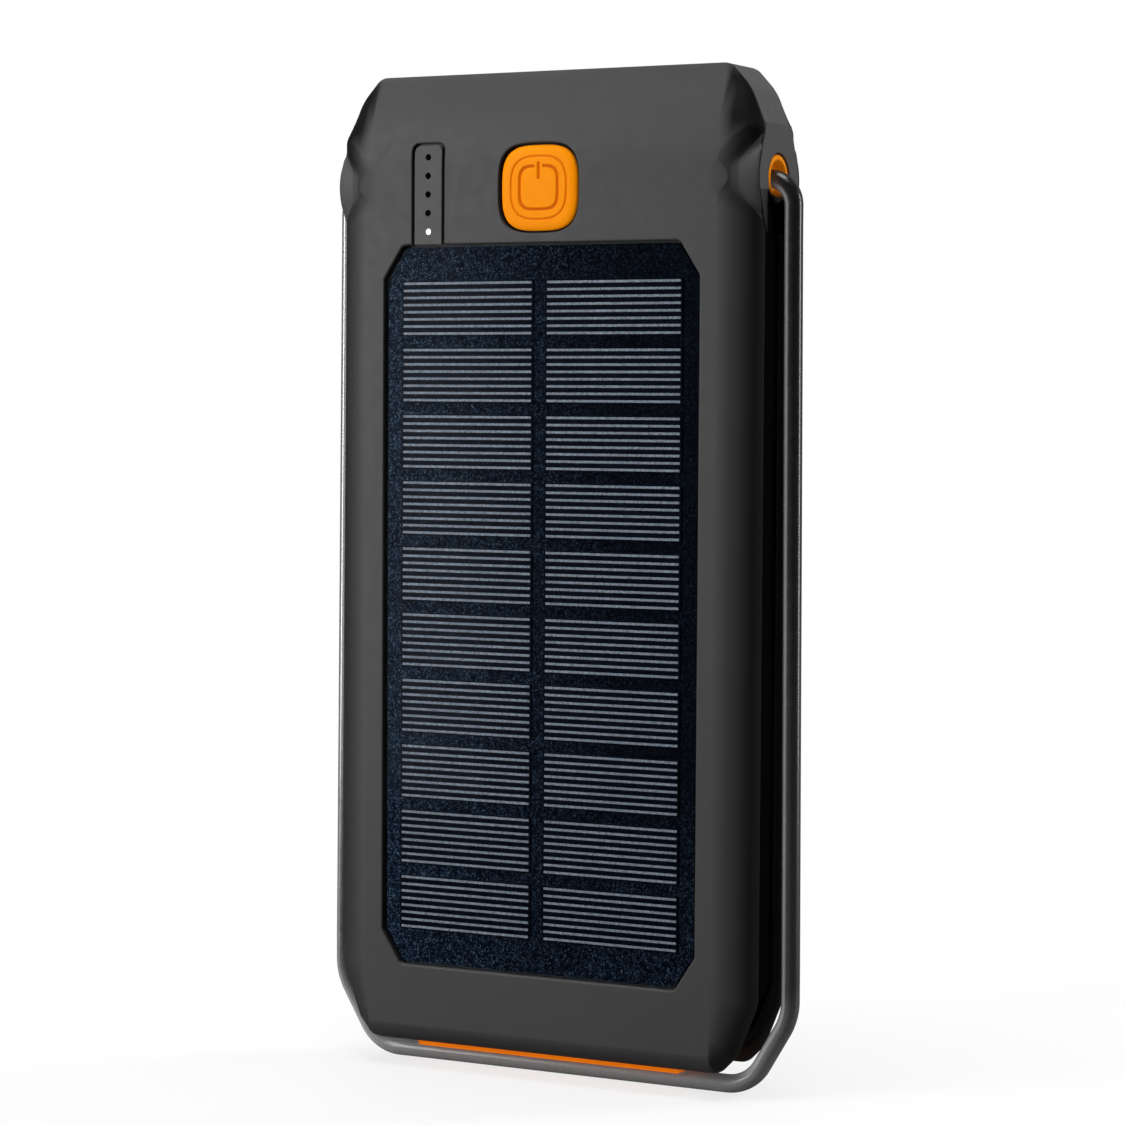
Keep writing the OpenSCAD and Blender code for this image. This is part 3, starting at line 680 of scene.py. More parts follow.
def wire_painted_reflections(name):
    """Satin black wire with painted reflections: lighter at grazing angles, greyer along the bar
    where the floor's reflection is painted.
    """
    mat = Material(name)
    at = mat.coords()
    cloud = mat.noise(at, scale=0.7, seed=2.1, detail=4, rough=0.6)
    fine = mat.noise(at, scale=7.0, seed=3.7, rough=0.6)
    facing = mat.node("LayerWeight", {"Blend": 0.5})["Facing"]
    z = mat.split(at)[2]
    # painted reflection: the wire is lighter towards its edges
    c = mat.mix(mat.remap(facing, (0.25, 0.60)), rgb(22, 22, 23), rgb(40, 40, 41))
    # painted reflection of the floor: greyer along the bar
    c = mat.mix(mat.remap(z, (4.0, 17.0), to=(0.95, 0)), c, rgb(88, 88, 88))
    c = mat.mix(mat.remap(cloud, (0.35, 0.7), to=(0, 0.2)), c, rgb(30, 30, 31))
    # painted highlight: a glowing line along the front left of each leg
    nx, ny, nz = mat.normals()
    painted_highlight = mat.remap(mat.size(mat.plus(nx, 0.42)), (0.08, 0.30), to=(0.10, 0))
    painted_highlight = mat.times(painted_highlight, mat.remap(ny, (-0.1, -0.5)))
    painted_highlight = mat.times(painted_highlight, mat.remap(mat.size(nz), SPAN, to=(1, 0)))
    roughness = mat.plus(mat.remap(cloud, SPAN, to=(0.20, 0.28)),
                         mat.remap(fine, SPAN, to=(-0.03, 0.03)))
    mat.principled(c, roughness, mat.bump(fine, depth=0.003), {
        "Emission Color": WHITE, "Emission Strength": painted_highlight, "Specular IOR Level": 0.55})


GREY, ORANGE = rgb(66, 66, 66), rgb(255, 146, 0)
PIVOT_ABOVE_FLOOR = PIVOT_Z + BASE_Z
CASING = dict(rough=0.5, grain=7.5, depth=0.012)
GREY_CASING = dict(CASING, tone=0.05, wear=0.10, wear_color=rgb(92, 92, 91), speck=0.25)

plastic("shell_grey", GREY, **GREY_CASING, spec=0.3, fall=0.34)
plastic("strip_grey", GREY, **GREY_CASING, spec=0.35)
plastic("shell_black", rgb(50, 50, 51), **CASING, tone=0.06, wear=0.12,
        wear_color=rgb(78, 78, 78), speck=0.2, spec=0.35, fall=0.55)
# the frame's side channel below the pivot gets near-black painted shade
plastic("frame_grey", rgb(82, 82, 82), rough=0.5, tone=0.05, grain=6.5, depth=0.014, wear=0.15,
        wear_color=rgb(94, 94, 94), speck=0.2, spec=0.35, below=PIVOT_ABOVE_FLOOR - 1.8)
plastic("black_rubber", rgb(24, 24, 25), rough=0.7, tone=0.12, depth=0.02, rough_tone=0.06,
        wear=0.2)
solar_panel("panel_navy")
silicon("cell_silicon")
cell_silver("cell_silver")
film("panel_film", tint=(0.90, 0.93, 0.97), amount=0.01)
plastic("foam_tape", rgb(225, 223, 215), rough=0.85, tone=0.06, grain=3.5, depth=0.05)
plastic("wire_skin", rgb(150, 22, 18), rough=0.4, tone=0.1, grain=6, depth=0.006)
# the orange parts get a painted glow
orange("orange_gloss", ORANGE, rough=0.45, painted_glow=0.2, scatter=0.0, spec=0.06,
       groove=rgb(205, 92, 0))
orange("orange_bush", ORANGE, rough=0.36, painted_glow=0.12, shade=PIVOT_ABOVE_FLOOR - 2.2)
orange("orange_rubber", rgb(255, 124, 0), rough=0.5, painted_glow=0.45, grain=6.0, depth=0.01)
plastic("component_black", rgb(26, 26, 27), rough=0.45, tone=0.15, rough_tone=0.06, wear=0.2)
plastic("component_tan", rgb(176, 148, 108), rough=0.5, tone=0.12, rough_tone=0.06, wear=0.2)
plastic("component_pale", rgb(206, 206, 200), rough=0.45, tone=0.08, rough_tone=0.06, wear=0.1)
circuit_board("circuit_green", rgb(18, 84, 46))
# painted glow on the lamp board
plastic("white_board", rgb(238, 238, 234), rough=0.5, tone=0.03, depth=0.006, painted_glow=0.34)
clear_plastic("clear_plastic")
plastic("led_white", rgb(240, 240, 226), rough=0.35, tone=0.04, depth=0.005, rough_tone=0.04)
glow("led_yellow", rgb(246, 240, 120), power=0.3)
# painted glow on the reflector cups
plastic("white_plastic", rgb(243, 243, 243), rough=0.42, tone=0.02, grain=6, depth=0.008,
        painted_glow=0.34)
metal("socket_steel", (0.62, 0.62, 0.63), rough=0.28)
metal("screw_steel", (0.3, 0.3, 0.31), rough=0.32)
metal("pin_brass", (0.78, 0.56, 0.24), rough=0.3)
foil("cell_foil")
wire_painted_reflections("bail_black")
# near-black, painted shade inside the unlit light pipes
plastic("pipe_dark", rgb(3, 3, 3), rough=0.6, tone=0.1, depth=0.003, rough_tone=0.04, spec=0.02)
glow("pipe_lit", (0.95, 0.98, 1.0), power=1.6)
# near-black, painted shade in the gap round the button
plastic("gap_black", rgb(12, 12, 12), rough=0.7, tone=0.1)

# the CAD nodes take a procedural material in place of their flat one
for node in NODES.values():
    for material_slot in node.material_slots:
        flat = material_slot.material
        key = (flat.name if flat else "").split(".")[0]
        if key in MATERIALS:
            material_slot.material = MATERIALS[key]

# ---------------------------------------------------------------- shells
WELL_GAP = 0.35         # clearance of the recess round the panel
WELL_Y = 7.55           # floor of the indicator slot
PANEL_FLOOR_Y = 6.95
PANEL_UNDER_Y = 5.95    # back of the panel floor
INNER_Y = 7.2           # inside of the shell face
PANEL_STEPS = 5
LIP_R = 0.32            # rounding of the seam and of the panel recess
SCREWS = [(-22, 15.5), (22, 15.5), (-22, 116), (22, 116)]
LEAD_SLOT = [(14, 110), (19, 110), (19, 112.4), (14, 112.4)]
# radius, depth: up the outside of a screw boss and down its bore
SCREW_BOSS = [(2.8, 5.9), (2.8, 2.1), (2.6, 1.86), (1.25, 1.86), (1.05, 2.1), (1.05, 5.9)]
BUTTON_HOLE_W = 13.6
WINDOW_W, WINDOW_CHAMFER = 15.1, 4.0


def panel_outline(grow):
    a, chamfer = PANEL_W / 2, 5 - grow * 0.5
    x = a - 3.2 + grow * 0.6
    return soften_outline(mirrored([
        (x, PANEL_Z - grow), (a + grow, PANEL_Z + chamfer),
        (a + grow, PANEL_TOP - chamfer), (x, PANEL_TOP + grow)]), 1.2, PANEL_STEPS)


def indicator_outline(grow, radius, bottom, arc_points):
    """Open-bottomed slot shape round the dots, from lower right to lower left."""
    right, left = DOT_X + 2.6 + grow, DOT_X - 2.6 - grow
    top = DOTS[-1] + 2.0 + grow
    heights = [bottom] + [bottom + (top - radius - bottom) * f for f in (0.3, 0.55, 0.7, 0.8, 0.9)]

    def arc(x, start):
        return [(x + radius * math.cos(t), top - radius + radius * math.sin(t))
                for t in np.linspace(start, start + math.pi / 2, arc_points)]

    return np.array([(right, z) for z in heights] + arc(right - radius, 0)
                    + arc(left + radius, math.pi / 2) + [(left, z) for z in heights[::-1]])


def well_outline(grow):
    """Panel recess joined with the indicator slot, and the slot's first and last index."""
    panel = panel_outline(grow)
    extra = grow - WELL_GAP
    slot = indicator_outline(extra + 0.15, 1.2 + extra, PANEL_TOP + grow, 6)
    first = (PANEL_STEPS + 1) * 4         # the four corners on the right come before the slot
    outline = np.vstack([panel[:first], slot, panel[first:]])
    return outline, first, first + len(slot) - 1


def window_outline(width, chamfer):
    a, r, steps = width / 2, 1.1, 5
    return soften_outline([(a - chamfer, -a), (a, -a + chamfer), (a, a), (-a + chamfer, a),
                           (-a, a - chamfer), (-a, -a)], [r, r, 1.6, r, r, 1.6], steps)


def shell_skin(side):
    """Outer and inner walls of a shell; side is the sign of y."""
    build = Build()
    seam = push_boss(outline_at(SEAM_LINE), SEAM_LINE)

    def inset_ring(inset):
        return seam - (OUTLINES[0] - casing_outline(
            casing_corners(inset, inset, inset - SHELL_DROP)))

    wall = 1.7
    outer = [build.flat(inset_ring(wall), side * SEAM_LINE)]
    for degrees in (0, 30, 60):
        a = math.radians(degrees)
        outer.append(build.flat(inset_ring(LIP_R * (1 - math.sin(a))),
                                side * (SEAM_LINE + LIP_R * (1 - math.cos(a)))))
    # the last level lies on the face, up to FACE_TOP; each column settles on its own depth
    end = np.where(OUTLINES[0, :, 1] > 122, float(face_y(FACE_TOP)), HALF_T)
    for _ in range(80):
        end = 0.5 * (end + np.minimum(HALF_T, face_y(outline_at(end)[:, 1])))
    start = SEAM_LINE + LIP_R
    fractions = np.concatenate([np.linspace(0, 0.55, 8), np.linspace(0.62, 0.9, 9),
                                np.linspace(0.925, 0.985, 5), [0.995, 0.9985, 1.0]])
    for f in fractions:
        y = start + (end - start) * f
        outer.append(build.flat(push_boss(outline_at(y), y), side * y))
    build.chain(outer)

    rim = casing_outline(casing_corners(wall, wall, 1.4), CORNER_R * 0.8)
    top = casing_outline(casing_corners(HALF_W - FACE_HALF_W + 0.7, SLOPE_H + 0.6, 4.4, 0.1),
                         CORNER_R * 0.12)
    inner = [outer[0]]
    rim_y = SEAM_LINE + 0.01
    for f in (0.12, 0.5, 0.85, 1.0):
        y = rim_y + (INNER_Y - SEAM_LINE - 0.01) * f
        inner.append(build.flat(rim * (1 - f) + top * f, side * y))
    build.chain(inner)
    return build, outer[-1], inner[-1]


def boss_painted_shading(build):
    """Painted light and shade for the pivot boss: 1 where the side stands out over the boss, which
    is painted lighter,
    0 on the plain roundings and negative close round the boss, where shadow is painted."""
    points = np.array(build.points)
    x, y, z = np.abs(points[:, 0]), np.abs(points[:, 1]), points[:, 2]
    rho = np.hypot(y, z - PIVOT_Z)
    boss = np.clip((8.42 - rho) / 0.3, 0, 1) * np.clip((x - 30.7) / 0.4, 0, 1)
    shadow = (np.clip((x - 29.7) / 0.5, 0, 1) * np.clip((y - 7.0) / 1.2, 0, 1)
              * np.clip((9.6 - rho) / 0.8, 0, 1))
    return (boss - 0.3 * (1 - boss) * shadow) * (y > SEAM_Y - 1)


def opening_lip(build, outline, radius, side):
    """Rounded edge of an opening; outline(grow) gives its shape. Loops run inwards."""
    P = outline(radius + 0.18)
    loops = [build.flat(P, side * face_y(P[:, 1]))]
    for a in [math.pi / 2 * i / 4 for i in range(5)]:
        P = outline(radius * (1 - math.sin(a)))
        loops.append(build.flat(P, side * (face_y(P[:, 1]) - radius * (1 - math.cos(a)))))
    build.chain(loops)
    return loops


def panel_floor(build, rim):
    """Floor under the panel with screw holes and the lead slot; returns its inner loop."""
    holes = [build.flat(circle(x, z, 2.05), -PANEL_FLOOR_Y) for x, z in SCREWS]
    holes.append(build.flat(LEAD_SLOT, -PANEL_FLOOR_Y))
    build.cap(rim, holes)
    under = build.flat(panel_outline(1.5), -PANEL_UNDER_Y)
    holes_under = [build.copy(hole, -PANEL_UNDER_Y) for hole in holes]
    for a, b in zip(holes, holes_under):
        build.bridge(a, b)
    build.cap(under, holes_under)
    inner = build.copy(under, -INNER_Y)
    build.bridge(under, inner)
    return inner


def front_shell():
    build, face, inner = shell_skin(-1)
    well = opening_lip(build, lambda grow: well_outline(WELL_GAP + grow)[0], LIP_R, -1)
    outline, first, last = well_outline(WELL_GAP)
    low = build.flat(outline, -WELL_Y)
    build.bridge(well[-1], low)
    around_panel = low[:first + 1] + low[last:]
    deep = build.copy(around_panel, -PANEL_FLOOR_Y)
    build.bridge(around_panel, deep)
    dots = [build.flat(circle(DOT_X, z, DOT_R), -WELL_Y) for z in DOTS]
    build.cap(low[first:last + 1], dots)
    dots_inner = [build.copy(dot, -INNER_Y) for dot in dots]
    for a, b in zip(dots, dots_inner):
        build.bridge(a, b)
    panel_inner = panel_floor(build, deep)
    centre = [0, BUTTON_Z]
    button_lip = opening_lip(
        build, lambda grow: squircle(BUTTON_HOLE_W + 2 * grow) + centre, 0.28, -1)
    button_inner = build.flat(squircle(BUTTON_HOLE_W) + centre, -INNER_Y)
    build.bridge(button_lip[-1], button_inner)
    build.cap(face, [well[0], button_lip[0]], side=-1)
    build.cap(inner, [panel_inner, button_inner] + dots_inner)
    for x, z in SCREWS:
        rings = [build.flat(circle(x, z, radius), -y) for radius, y in SCREW_BOSS]
        build.chain(rings + rings[:1])
    piece("front_shell_skin", build, "case", "shell_grey", "front_shell",
          light_shade_mark=boss_painted_shading(build))


def rear_shell():
    build, face, inner = shell_skin(1)
    tops, bottoms = [], []
    for centre in WINDOWS:
        lip = opening_lip(build, lambda grow: window_outline(
            WINDOW_W + 2 * grow, WINDOW_CHAMFER + 0.6 * grow) + centre, 0.28, 1)
        low = build.flat(window_outline(WINDOW_W, WINDOW_CHAMFER) + centre, INNER_Y)
        build.bridge(lip[-1], low)
        tops.append(lip[0])
        bottoms.append(low)
    build.cap(face, tops, side=1)
    build.cap(inner, bottoms)
    piece("rear_shell_skin", build, "case", "shell_black", "rear_shell",
          light_shade_mark=boss_painted_shading(build))


front_shell()
rear_shell()

# ---------------------------------------------------------------- bail
LEG_X, LEG_TOP_X = 39.1, 38.45            # leg centre line at the bottom and at the top
BAR_X, BAR_Z = 32.6, WIRE_R - BASE_Z      # corner between slant and bar; bar centre line
SLANT = math.radians(59.3)                # rise of the slant between bar and leg
LEG_BEND_R, BAR_BEND_R, TOP_BEND_R = 9.0, 6.7, 4
# x, radius: the wire end in the pivot, with a groove
WIRE_END = [(28.6, 1.1), (28.65, 1.25), (28.8, WIRE_R), (29.19, WIRE_R), (29.2, 1.1),
            (30.0, 1.1), (30.01, WIRE_R), (31, WIRE_R), (33, WIRE_R), (34.6, WIRE_R)]


def tube(path, radii, count):
    """Sweep a circle along a path in the X-Z plane."""
    P = np.array(path, float)
    tangents = np.gradient(P, axis=0)
    tangents /= np.linalg.norm(tangents, axis=1)[:, None]
    build = Build()
    y_axis = np.array([0, 1.0, 0])
    angles = np.linspace(0, 2 * math.pi, count, endpoint=False)
    rings = []
    for p, tangent, r in zip(P, tangents, radii):
        across = np.cross(y_axis, tangent)
        across /= np.linalg.norm(across)
        rings.append(build.ring([p + r * (math.cos(a) * across + math.sin(a) * y_axis)
                                 for a in angles]))
    build.chain(rings)
    build.fan(rings[0])
    build.fan(rings[-1])
    return build


def bail():
    quarter = math.pi / 2
    leg_cx = LEG_X - LEG_BEND_R
    leg_cz = (BAR_Z + (LEG_X - BAR_X) * math.tan(SLANT)
              + LEG_BEND_R * math.tan((quarter - SLANT) / 2))
    bar_cx, bar_cz = BAR_X - BAR_BEND_R * math.tan(SLANT / 2), BAR_Z + BAR_BEND_R
    half = [(x, 0, PIVOT_Z) for x, _ in WIRE_END]

    def bend(cx, cz, radius, start, end, count):
        for a in np.linspace(start, end, count):
            half.append((cx + radius * math.cos(a), 0, cz + radius * math.sin(a)))

    bend(LEG_TOP_X - TOP_BEND_R, PIVOT_Z - TOP_BEND_R, TOP_BEND_R, quarter, 0, 25)
    leg_low = leg_cz + 4
    for z in np.linspace(PIVOT_Z - 8, leg_low, 24):
        f = (z - leg_low) / (PIVOT_Z - 12 - leg_cz)
        half.append((LEG_X + (LEG_TOP_X - LEG_X) * f, 0, z))
    bend(leg_cx, leg_cz, LEG_BEND_R, 0, SLANT - quarter, 13)
    slant_top = np.array(half[-1])
    slant_low = np.array([bar_cx + BAR_BEND_R * math.sin(SLANT), 0,
                          bar_cz - BAR_BEND_R * math.cos(SLANT)])
    half += [tuple(slant_top + (slant_low - slant_top) * f) for f in (0.25, 0.5, 0.75)]
    bend(bar_cx, bar_cz, BAR_BEND_R, SLANT - quarter, -quarter, 25)
    bar = [(x, 0, BAR_Z) for x in np.linspace(bar_cx - 3, 3 - bar_cx, 14)]
    path = half + bar + [(-x, y, z) for x, y, z in half[::-1]]
    ends = [r for _, r in WIRE_END]
    radii = ends + [WIRE_R] * (len(path) - 2 * len(ends)) + ends[::-1]
    return piece("bail_wire", tube(path, radii, 48), "bail", "bail_black", "bail_handle",
                 angle=50, weighted=False)


bail_wire = bail()

# x, radius: section of the orange ring in each pivot
BUSH = [(31, 1.45), (31, 3.5), (35.9, 3.5), (35.9, 2.75), (34.55, 2.35), (34.5, 1.45)]
BUSH_EDGE_R = 0.28


def pivot_bush(name, side):
    """The bush section turned round the pivot line; side is the sign of x."""
    P = [np.array(p, float) for p in BUSH]
    profile = []
    for i, p in enumerate(P):
        a, b = P[i - 1], P[(i + 1) % len(P)]
        radius = min(BUSH_EDGE_R, 0.45 * np.linalg.norm(a - p), 0.45 * np.linalg.norm(b - p))
        profile += corner_arc(a, p, b, radius, 4)
    build = Build()
    angles = np.linspace(0, 2 * math.pi, 72, endpoint=False)
    rings = [build.ring([(side * x, r * math.cos(a), PIVOT_Z + r * math.sin(a))
                         for a in angles]) for x, r in profile]
    build.chain(rings + rings[:1])
    piece(name + "_ring", build, "case", "orange_bush", name, angle=50)


pivot_bush("pivot_bush_right", 1)
pivot_bush("pivot_bush_left", -1)

# ---------------------------------------------------------------- button
BUTTON_W, BUTTON_Y = 12.95, 8.48
BUTTON_COLUMNS = 288
# scale, y, material slot: the side wall of the button, whose lower part and the flange behind it
# are near-black as painted shade in the gap round the button
BUTTON_SIDE = [(1.0, -7.75, 0), (1.0, -7.14, 1), (14.6 / 13, -7.12, 1), (14.6 / 13, -6.5, 1)]


def squircle_distance(p, width, power):
    return (np.abs(p[:, 0]) ** power + np.abs(p[:, 1]) ** power) ** (1 / power) - width / 2


def groove(distance, width):
    return np.clip(1 - (np.abs(distance) / (width / 2)) ** 2, 0, 1)


def button_marks(p):
    """0 to 1 in the grooves: an outer band, a ring open at the top and a tick in the gap."""
    band = groove(squircle_distance(p, width=9.5, power=2.9), width=0.42) * 0.7
    ring = groove(squircle_distance(p, width=6.5, power=4.0), width=0.6)
    gap = np.clip((np.abs(p[:, 0]) - 0.62) / 0.12, 0, 1)
    ring = np.where(p[:, 1] > 0, ring * gap, ring)
    tick = (groove(p[:, 0], width=0.64) * np.clip((p[:, 1] - 1.15) / 0.15, 0, 1)
            * np.clip((3.95 - p[:, 1]) / 0.15, 0, 1))
    return np.maximum(np.maximum(band, ring), tick)


def button():
    build, light_shade_mark = Build(), []
    # the outline resampled evenly by angle
    edge = squircle(BUTTON_W, 720)
    angle = np.arctan2(edge[:, 1], edge[:, 0])
    order = np.argsort(angle)
    angle, radius = angle[order], np.hypot(*edge.T)[order]
    even = np.linspace(-math.pi, math.pi, BUTTON_COLUMNS, endpoint=False)
    turn = 2 * math.pi
    radius = np.interp(even, np.concatenate([angle - turn, angle, angle + turn]),
                       np.tile(radius, 3))
    ray = np.stack([np.cos(even), np.sin(even)], 1)
    rings = []
    for f in np.unique(np.concatenate([np.linspace(0.06, 0.28, 12), np.linspace(0.28, 0.80, 66),
                                       np.linspace(0.8, 1, 22)])):
        p = ray * (radius * f)[:, None]
        marks = button_marks(p)
        t = np.clip((f - 0.80) / 0.20, 0, 1)
        rounding = 0.42 * (1 - np.sqrt(np.maximum(1 - t ** 2.3, 0)))
        crown = 0.05 * f ** 2
        sink = rounding + crown + 0.17 * marks + HALF_T - face_y(BUTTON_Z + p[:, 1])
        rings.append(build.flat(p + [0, BUTTON_Z], sink - BUTTON_Y))
        # groove marks that carry painted shade into the button's colour
        light_shade_mark += list(marks)
    build.chain(rings)
    build.fan(rings[0])
    light_shade_mark.append(0)
    full = ray * radius[:, None]
    last = rings[-1]
    for scale, y, slot in BUTTON_SIDE:
        ring = build.flat(full * scale + [0, BUTTON_Z], y)
        light_shade_mark += [0.0] * BUTTON_COLUMNS
        build.bridge(last, ring, slot)
        last = ring
    build.fan(last, 1)
    light_shade_mark.append(0.0)
    piece("button_top", build, "button", "orange_gloss", "button_cap",
          materials=["orange_gloss", "gap_black"], angle=60, light_shade_mark=light_shade_mark)


button()

# ---------------------------------------------------------------- indicator strip and light pipes
STRIP_FIT, STRIP_EDGE, STRIP_SINK = -0.16, 0.10, 0.03   # clearance, edge rounding, depth
STRIP_BACK_Y = 7.56
# radius, y: front of a light pipe to its inner end
PIPE_FRONT = [(0.10, -8.27), (0.25, -8.26), (0.38, -8.22), (0.46, -8.12)]
PIPE_BACK = [(0.46, -5.0), (0.3, -4.95)]


def strip_outline(grow):
    return indicator_outline(grow, 1.2 + grow, PANEL_TOP + 0.42, 7)


def indicator_strip():
    build = Build()
    rings = []
    for a in np.linspace(0, math.pi / 2, 5):
        P = strip_outline(STRIP_FIT + STRIP_EDGE * (math.sin(a) - 1))
        rings.append(build.flat(
            P, -face_y(P[:, 1]) + STRIP_SINK + STRIP_EDGE * (1 - math.cos(a))))
    rings.append(build.flat(strip_outline(STRIP_FIT), -STRIP_BACK_Y))
    holes, holes_back = [], []
    for z in DOTS:
        P = circle(DOT_X, z, DOT_R, 32)
        holes.append(build.flat(P, -face_y(P[:, 1]) + STRIP_SINK))
        holes_back.append(build.flat(P, -STRIP_BACK_Y))
        build.bridge(holes[-1], holes_back[-1])
    build.chain(rings)
    build.cap(rings[0], holes)
    build.cap(rings[-1], holes_back)
    piece("indicator_insert", build, "case", "shell_grey", "indicator_strip",
          materials=["strip_grey"])


def light_pipes():
    """Five pipes; the lowest is lit and stands a little further out."""
    build = Build()
    for i, z in enumerate(DOTS):
        # the unlit pipes are near-black, painted shade in the dots
        slot, out = (1, 0.12) if i == 0 else (0, 0.0)
        profile = [(r, y - out) for r, y in PIPE_FRONT] + PIPE_BACK
        rings = [build.flat(circle(DOT_X, z, r), y) for r, y in profile]
        build.chain(rings, slot)
        build.fan(rings[0], slot)
        build.fan(rings[-1], slot)
    piece("indicator_pipes", build, "case", "clear_plastic", "indicator_light_pipes",
          materials=["pipe_dark", "pipe_lit"])


indicator_strip()
light_pipes()

# ---------------------------------------------------------------- lamp
LAMP_HALF_H = 53.9
LENS_W = 14.6
# grow, y: a lens block from the sheet outwards
LENS_PROFILE = [(0.0, 7.05), (0.0, 7.5), (-0.06, 7.61), (-0.2, 7.65), (-0.75, 7.66),
                (-0.98, 7.74), (-1.14, 7.86), (-1.35, 7.93), (-1.6, 7.95)]
CUP_W = 13.9
# width, y: a reflector cup from its rim inwards
CUP_PROFILE = [(CUP_W, 6.45), (13.75, 6.4), (13.6, 6.25), (12.4, 5.5), (11.6, 5.1), (11.2, 4.95)]


def lamp_plate(build, half_w, radius, outer_y, inner_y):
    """Edge of a plate behind all the windows; returns its two rims."""
    outline = soften_outline(mirrored([(half_w, WINDOWS_Z - LAMP_HALF_H),
                                       (half_w, WINDOWS_Z + LAMP_HALF_H)]), radius, 4)
    outer, inner = build.flat(outline, outer_y), build.flat(outline, inner_y)
    build.bridge(outer, inner)
    return outer, inner


def lenses():
    build = Build()
    bases = []
    for centre in WINDOWS:
        rings = [build.flat(window_outline(LENS_W + 2 * grow, 3.9 + 0.5 * grow) + centre, y)
                 for grow, y in LENS_PROFILE]
        build.chain(rings)
        build.cap(rings[-1])
        bases.append(rings[0])
    outer, inner = lamp_plate(build, half_w=26.8, radius=1, outer_y=7.05, inner_y=6.5)
    build.cap(outer, bases)
    build.cap(inner)
    piece("lamp_lens_sheet", build, "case", "clear_plastic", "lamp_lenses", angle=30)


def reflectors():
    build = Build()
    outer, inner = lamp_plate(build, half_w=26.6, radius=0.8, outer_y=6.45, inner_y=4.95)
    rims, bottoms = [], []
    for centre in WINDOWS:
        rings = [build.flat(window_outline(w, 3.7 - (CUP_W - w) * 0.15) + centre, y)
                 for w, y in CUP_PROFILE]
        build.chain(rings)
        rims.append(rings[0])
        bottoms.append(rings[-1])
    build.cap(outer, rims)
    build.cap(inner, bottoms)
    piece("lamp_cup_tray", build, "case", "white_plastic", "lamp_reflectors")


lenses()
reflectors()

# ---------------------------------------------------------------- living hinge of the port cover
# y, height: section of the hinge
HINGE_SECTION = [(-3.0, 0.0), (-3.0, 0.2), (-2.9, 0.3), (2.9, 0.3), (3.0, 0.2), (3.0, 0.0)]
HINGE_Z, HINGE_X0, HINGE_X1 = 149.52, 19.9, 20.75
DIP_X, DIP_W, DIP_DEPTH = 20.4, 0.16, 0.12      # thin line across the hinge


def cover_hinge():
    build = Build()
    rings = []
    for x in np.linspace(HINGE_X0, HINGE_X1, 13):
        dip = DIP_DEPTH * math.exp(-((x - DIP_X) / DIP_W) ** 2)
        rings.append(build.ring([(x, y, HINGE_Z + dz - dip) for y, dz in HINGE_SECTION]))
    build.chain(rings)
    build.face(rings[0])
    build.face(rings[-1])
    hinge = piece("cover_neck", build, None, "orange_rubber", angle=60, weighted=False)
    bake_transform(hinge)


cover_hinge()

# ---------------------------------------------------------------- soft edges on the CAD nodes
# node, bevel width in mm
SOFT_EDGES = [("mid_frame", 0.12), ("base_bumper", 0.2), ("port_cover", 0.12),
              ("cover_anchor", 0.12), ("lamp_leds", 0.1), ("lamp_resistors", 0.08),
              ("solar_substrate", 0.06)]


def soften_edges(obj, width):
    weld = obj.modifiers.new("weld", "WELD")
    weld.merge_threshold = 1e-6
    bevel = obj.modifiers.new("edges", "BEVEL")
    bevel.width = width * MM
    bevel.segments = 2
    bevel.limit_method = "ANGLE"
    bevel.angle_limit = math.radians(32)
    bevel.use_clamp_overlap = True
    bevel.harden_normals = False
    normals = obj.modifiers.new("normals", "WEIGHTED_NORMAL")
    normals.keep_sharp = False
    normals.weight = 60
    obj.data.polygons.foreach_set("use_smooth", [True] * len(obj.data.polygons))


for name, width in SOFT_EDGES:
    soften_edges(NODES[name], width)


# ---------------------------------------------------------------- stage, in metres
def floor_material(name):
    """Pale floor that fades to white for the camera only, so the fade lights nothing."""
    mat = Material(name)
    at = mat.coords((1, 1, 1))
    cloud = mat.noise(at, scale=18, seed=1.0, detail=3, rough=0.6)
    pale = mat.node("BsdfPrincipled", {
        "Base Color": mat.mix(mat.remap(cloud, SPAN), (0.86, 0.86, 0.86), (0.9, 0.9, 0.9)),
        "Roughness": 0.6, "Specular IOR Level": 0.2,
        "Normal": mat.bump(mat.noise(at, scale=900, seed=2.0), depth=0.05)})[0]
    x, y, _ = mat.split(at)
    radius = mat.math("SQRT", mat.plus(mat.times(x, x), mat.times(y, y)))
    white = mat.node("Emission", {"Color": WHITE, "Strength": 1.0})[0]
    seen = mat.node("LightPath")["Is Camera Ray"]
    fade = mat.times(mat.remap(radius, (0.05, 0.26), to=(0.75, 1)), seen)
    shown = mat.blend(fade, pale, white)
    dark = mat.node("BsdfDiffuse", {0: (0.22, 0.22, 0.22)})[0]
    mat.surface(mat.blend(seen, dark, shown))


def floor(half=7.0):
    floor_material("floor_pale")
    mesh = bpy.data.meshes.new("floor")
    mesh.from_pydata([(-half, -half, 0), (half, -half, 0), (half, half, 0), (-half, half, 0)],
                     [], [(0, 1, 2, 3)])
    mesh.materials.append(MATERIALS["floor_pale"])
    obj = bpy.data.objects.new("floor", mesh)
    scene.collection.objects.link(obj)


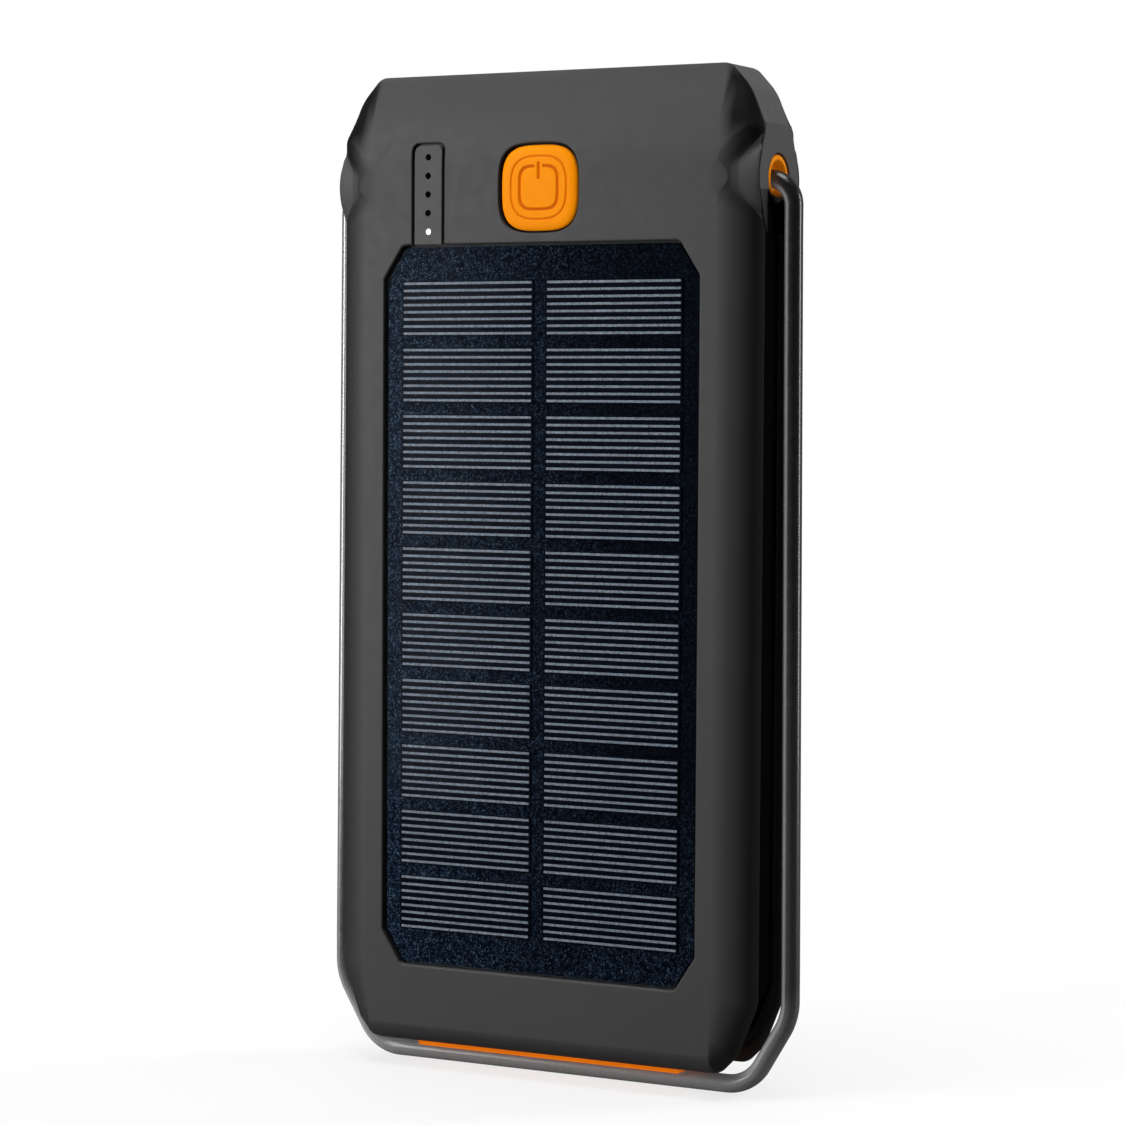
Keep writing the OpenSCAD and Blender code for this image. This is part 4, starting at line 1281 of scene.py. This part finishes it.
def studio_world():
    """White to the camera; a dim light that grows to the back, the left and upwards."""
    world = bpy.data.worlds.new("studio")
    scene.world = world
    world.use_nodes = True
    sky = Nodes(world.node_tree)
    x, y, z = sky.split(sky.node("TexCoord")["Generated"])
    back = sky.remap(y, (0.5, 0.95), to=(0.0, 0.12))
    left = sky.remap(x, (0.2, -0.9), to=(0.03, 0.10))
    up = sky.remap(z, (0.0, 1.0), to=(0.0, 0.06))
    strength = sky.plus(sky.plus(back, left), up)
    light = sky.node("Background", {0: (0.97, 0.985, 1.0), 1: strength})[0]
    plain = sky.node("Background", {0: WHITE, 1: 1.0})[0]
    seen = sky.node("LightPath")["Is Camera Ray"]
    sky.node("OutputWorld", {0: sky.blend(seen, light, plain)})


LAMP_CENTRE = (0, 0, 0.08)


def area(name, at, size, power, height=None, target=LAMP_CENTRE):
    """Area light hidden from the camera; square unless a height is given."""
    light = bpy.data.lights.new(name, "AREA")
    light.energy = power
    light.size = size
    if height:
        light.shape = "RECTANGLE"
        light.size_y = height
    obj = bpy.data.objects.new(name, light)
    scene.collection.objects.link(obj)
    obj.location = at
    aim = Vector(target) - Vector(at)
    obj.rotation_euler = aim.to_track_quat("-Z", "Y").to_euler()
    obj.visible_camera = False
    return obj


def lights():
    area("key_left", at=(-0.22, -0.28, 0.13), size=0.10, power=1.20, height=0.5)
    area("top_soft", at=(0.0, -0.15, 1.0), size=0.6, power=6.8)
    side = area("side_right", at=(0.64, 0.64, 0.40), size=0.3, power=6.8, height=0.6)
    side.visible_glossy = False
    rear = area("rear_fill", at=(-0.55, 0.85, 0.45), size=0.6, power=2.8)
    rear.visible_glossy = False
    # these light the wire only: a line along each edge of the legs, a sheen on the bar
    only = bpy.data.collections.new("wire_only")
    only.objects.link(bail_wire)
    for light in (
            area("rod_edge_left", at=(-0.42, -0.20, 0.08), size=0.09, power=6.0, height=0.6),
            area("rod_edge_right", at=(0.48, 0.20, 0.08), size=0.08, power=1.9, height=0.6),
            area("bar_sheen", at=(-0.10, -0.45, -0.16), size=0.5, power=1.2, height=0.15,
                 target=(0, 0, 0.004))):
        light.light_linking.receiver_collection = only
        light.light_linking.blocker_collection = only


def camera():
    """Camera in front of the lamp and to its right, slightly raised and rolled."""
    azimuth, elevation, roll = (math.radians(a) for a in (28.13, 2.90, 0.345))
    target, distance = Vector((0, 0, 0.0794)), 0.5077
    data = bpy.data.cameras.new("camera")
    data.lens = 105.4
    data.sensor_width = 36
    data.clip_start = 0.01
    data.clip_end = 50
    obj = bpy.data.objects.new("camera", data)
    scene.collection.objects.link(obj)
    away = Vector((math.sin(azimuth) * math.cos(elevation),
                   -math.cos(azimuth) * math.cos(elevation), math.sin(elevation)))
    turn = (-away).to_track_quat("-Z", "Y").to_matrix().to_4x4()
    obj.matrix_world = (Matrix.Translation(target + away * distance) @ turn
                        @ Matrix.Rotation(roll, 4, "Z"))
    scene.camera = obj


floor()
studio_world()
lights()
camera()
scene.view_settings.view_transform = "Standard"
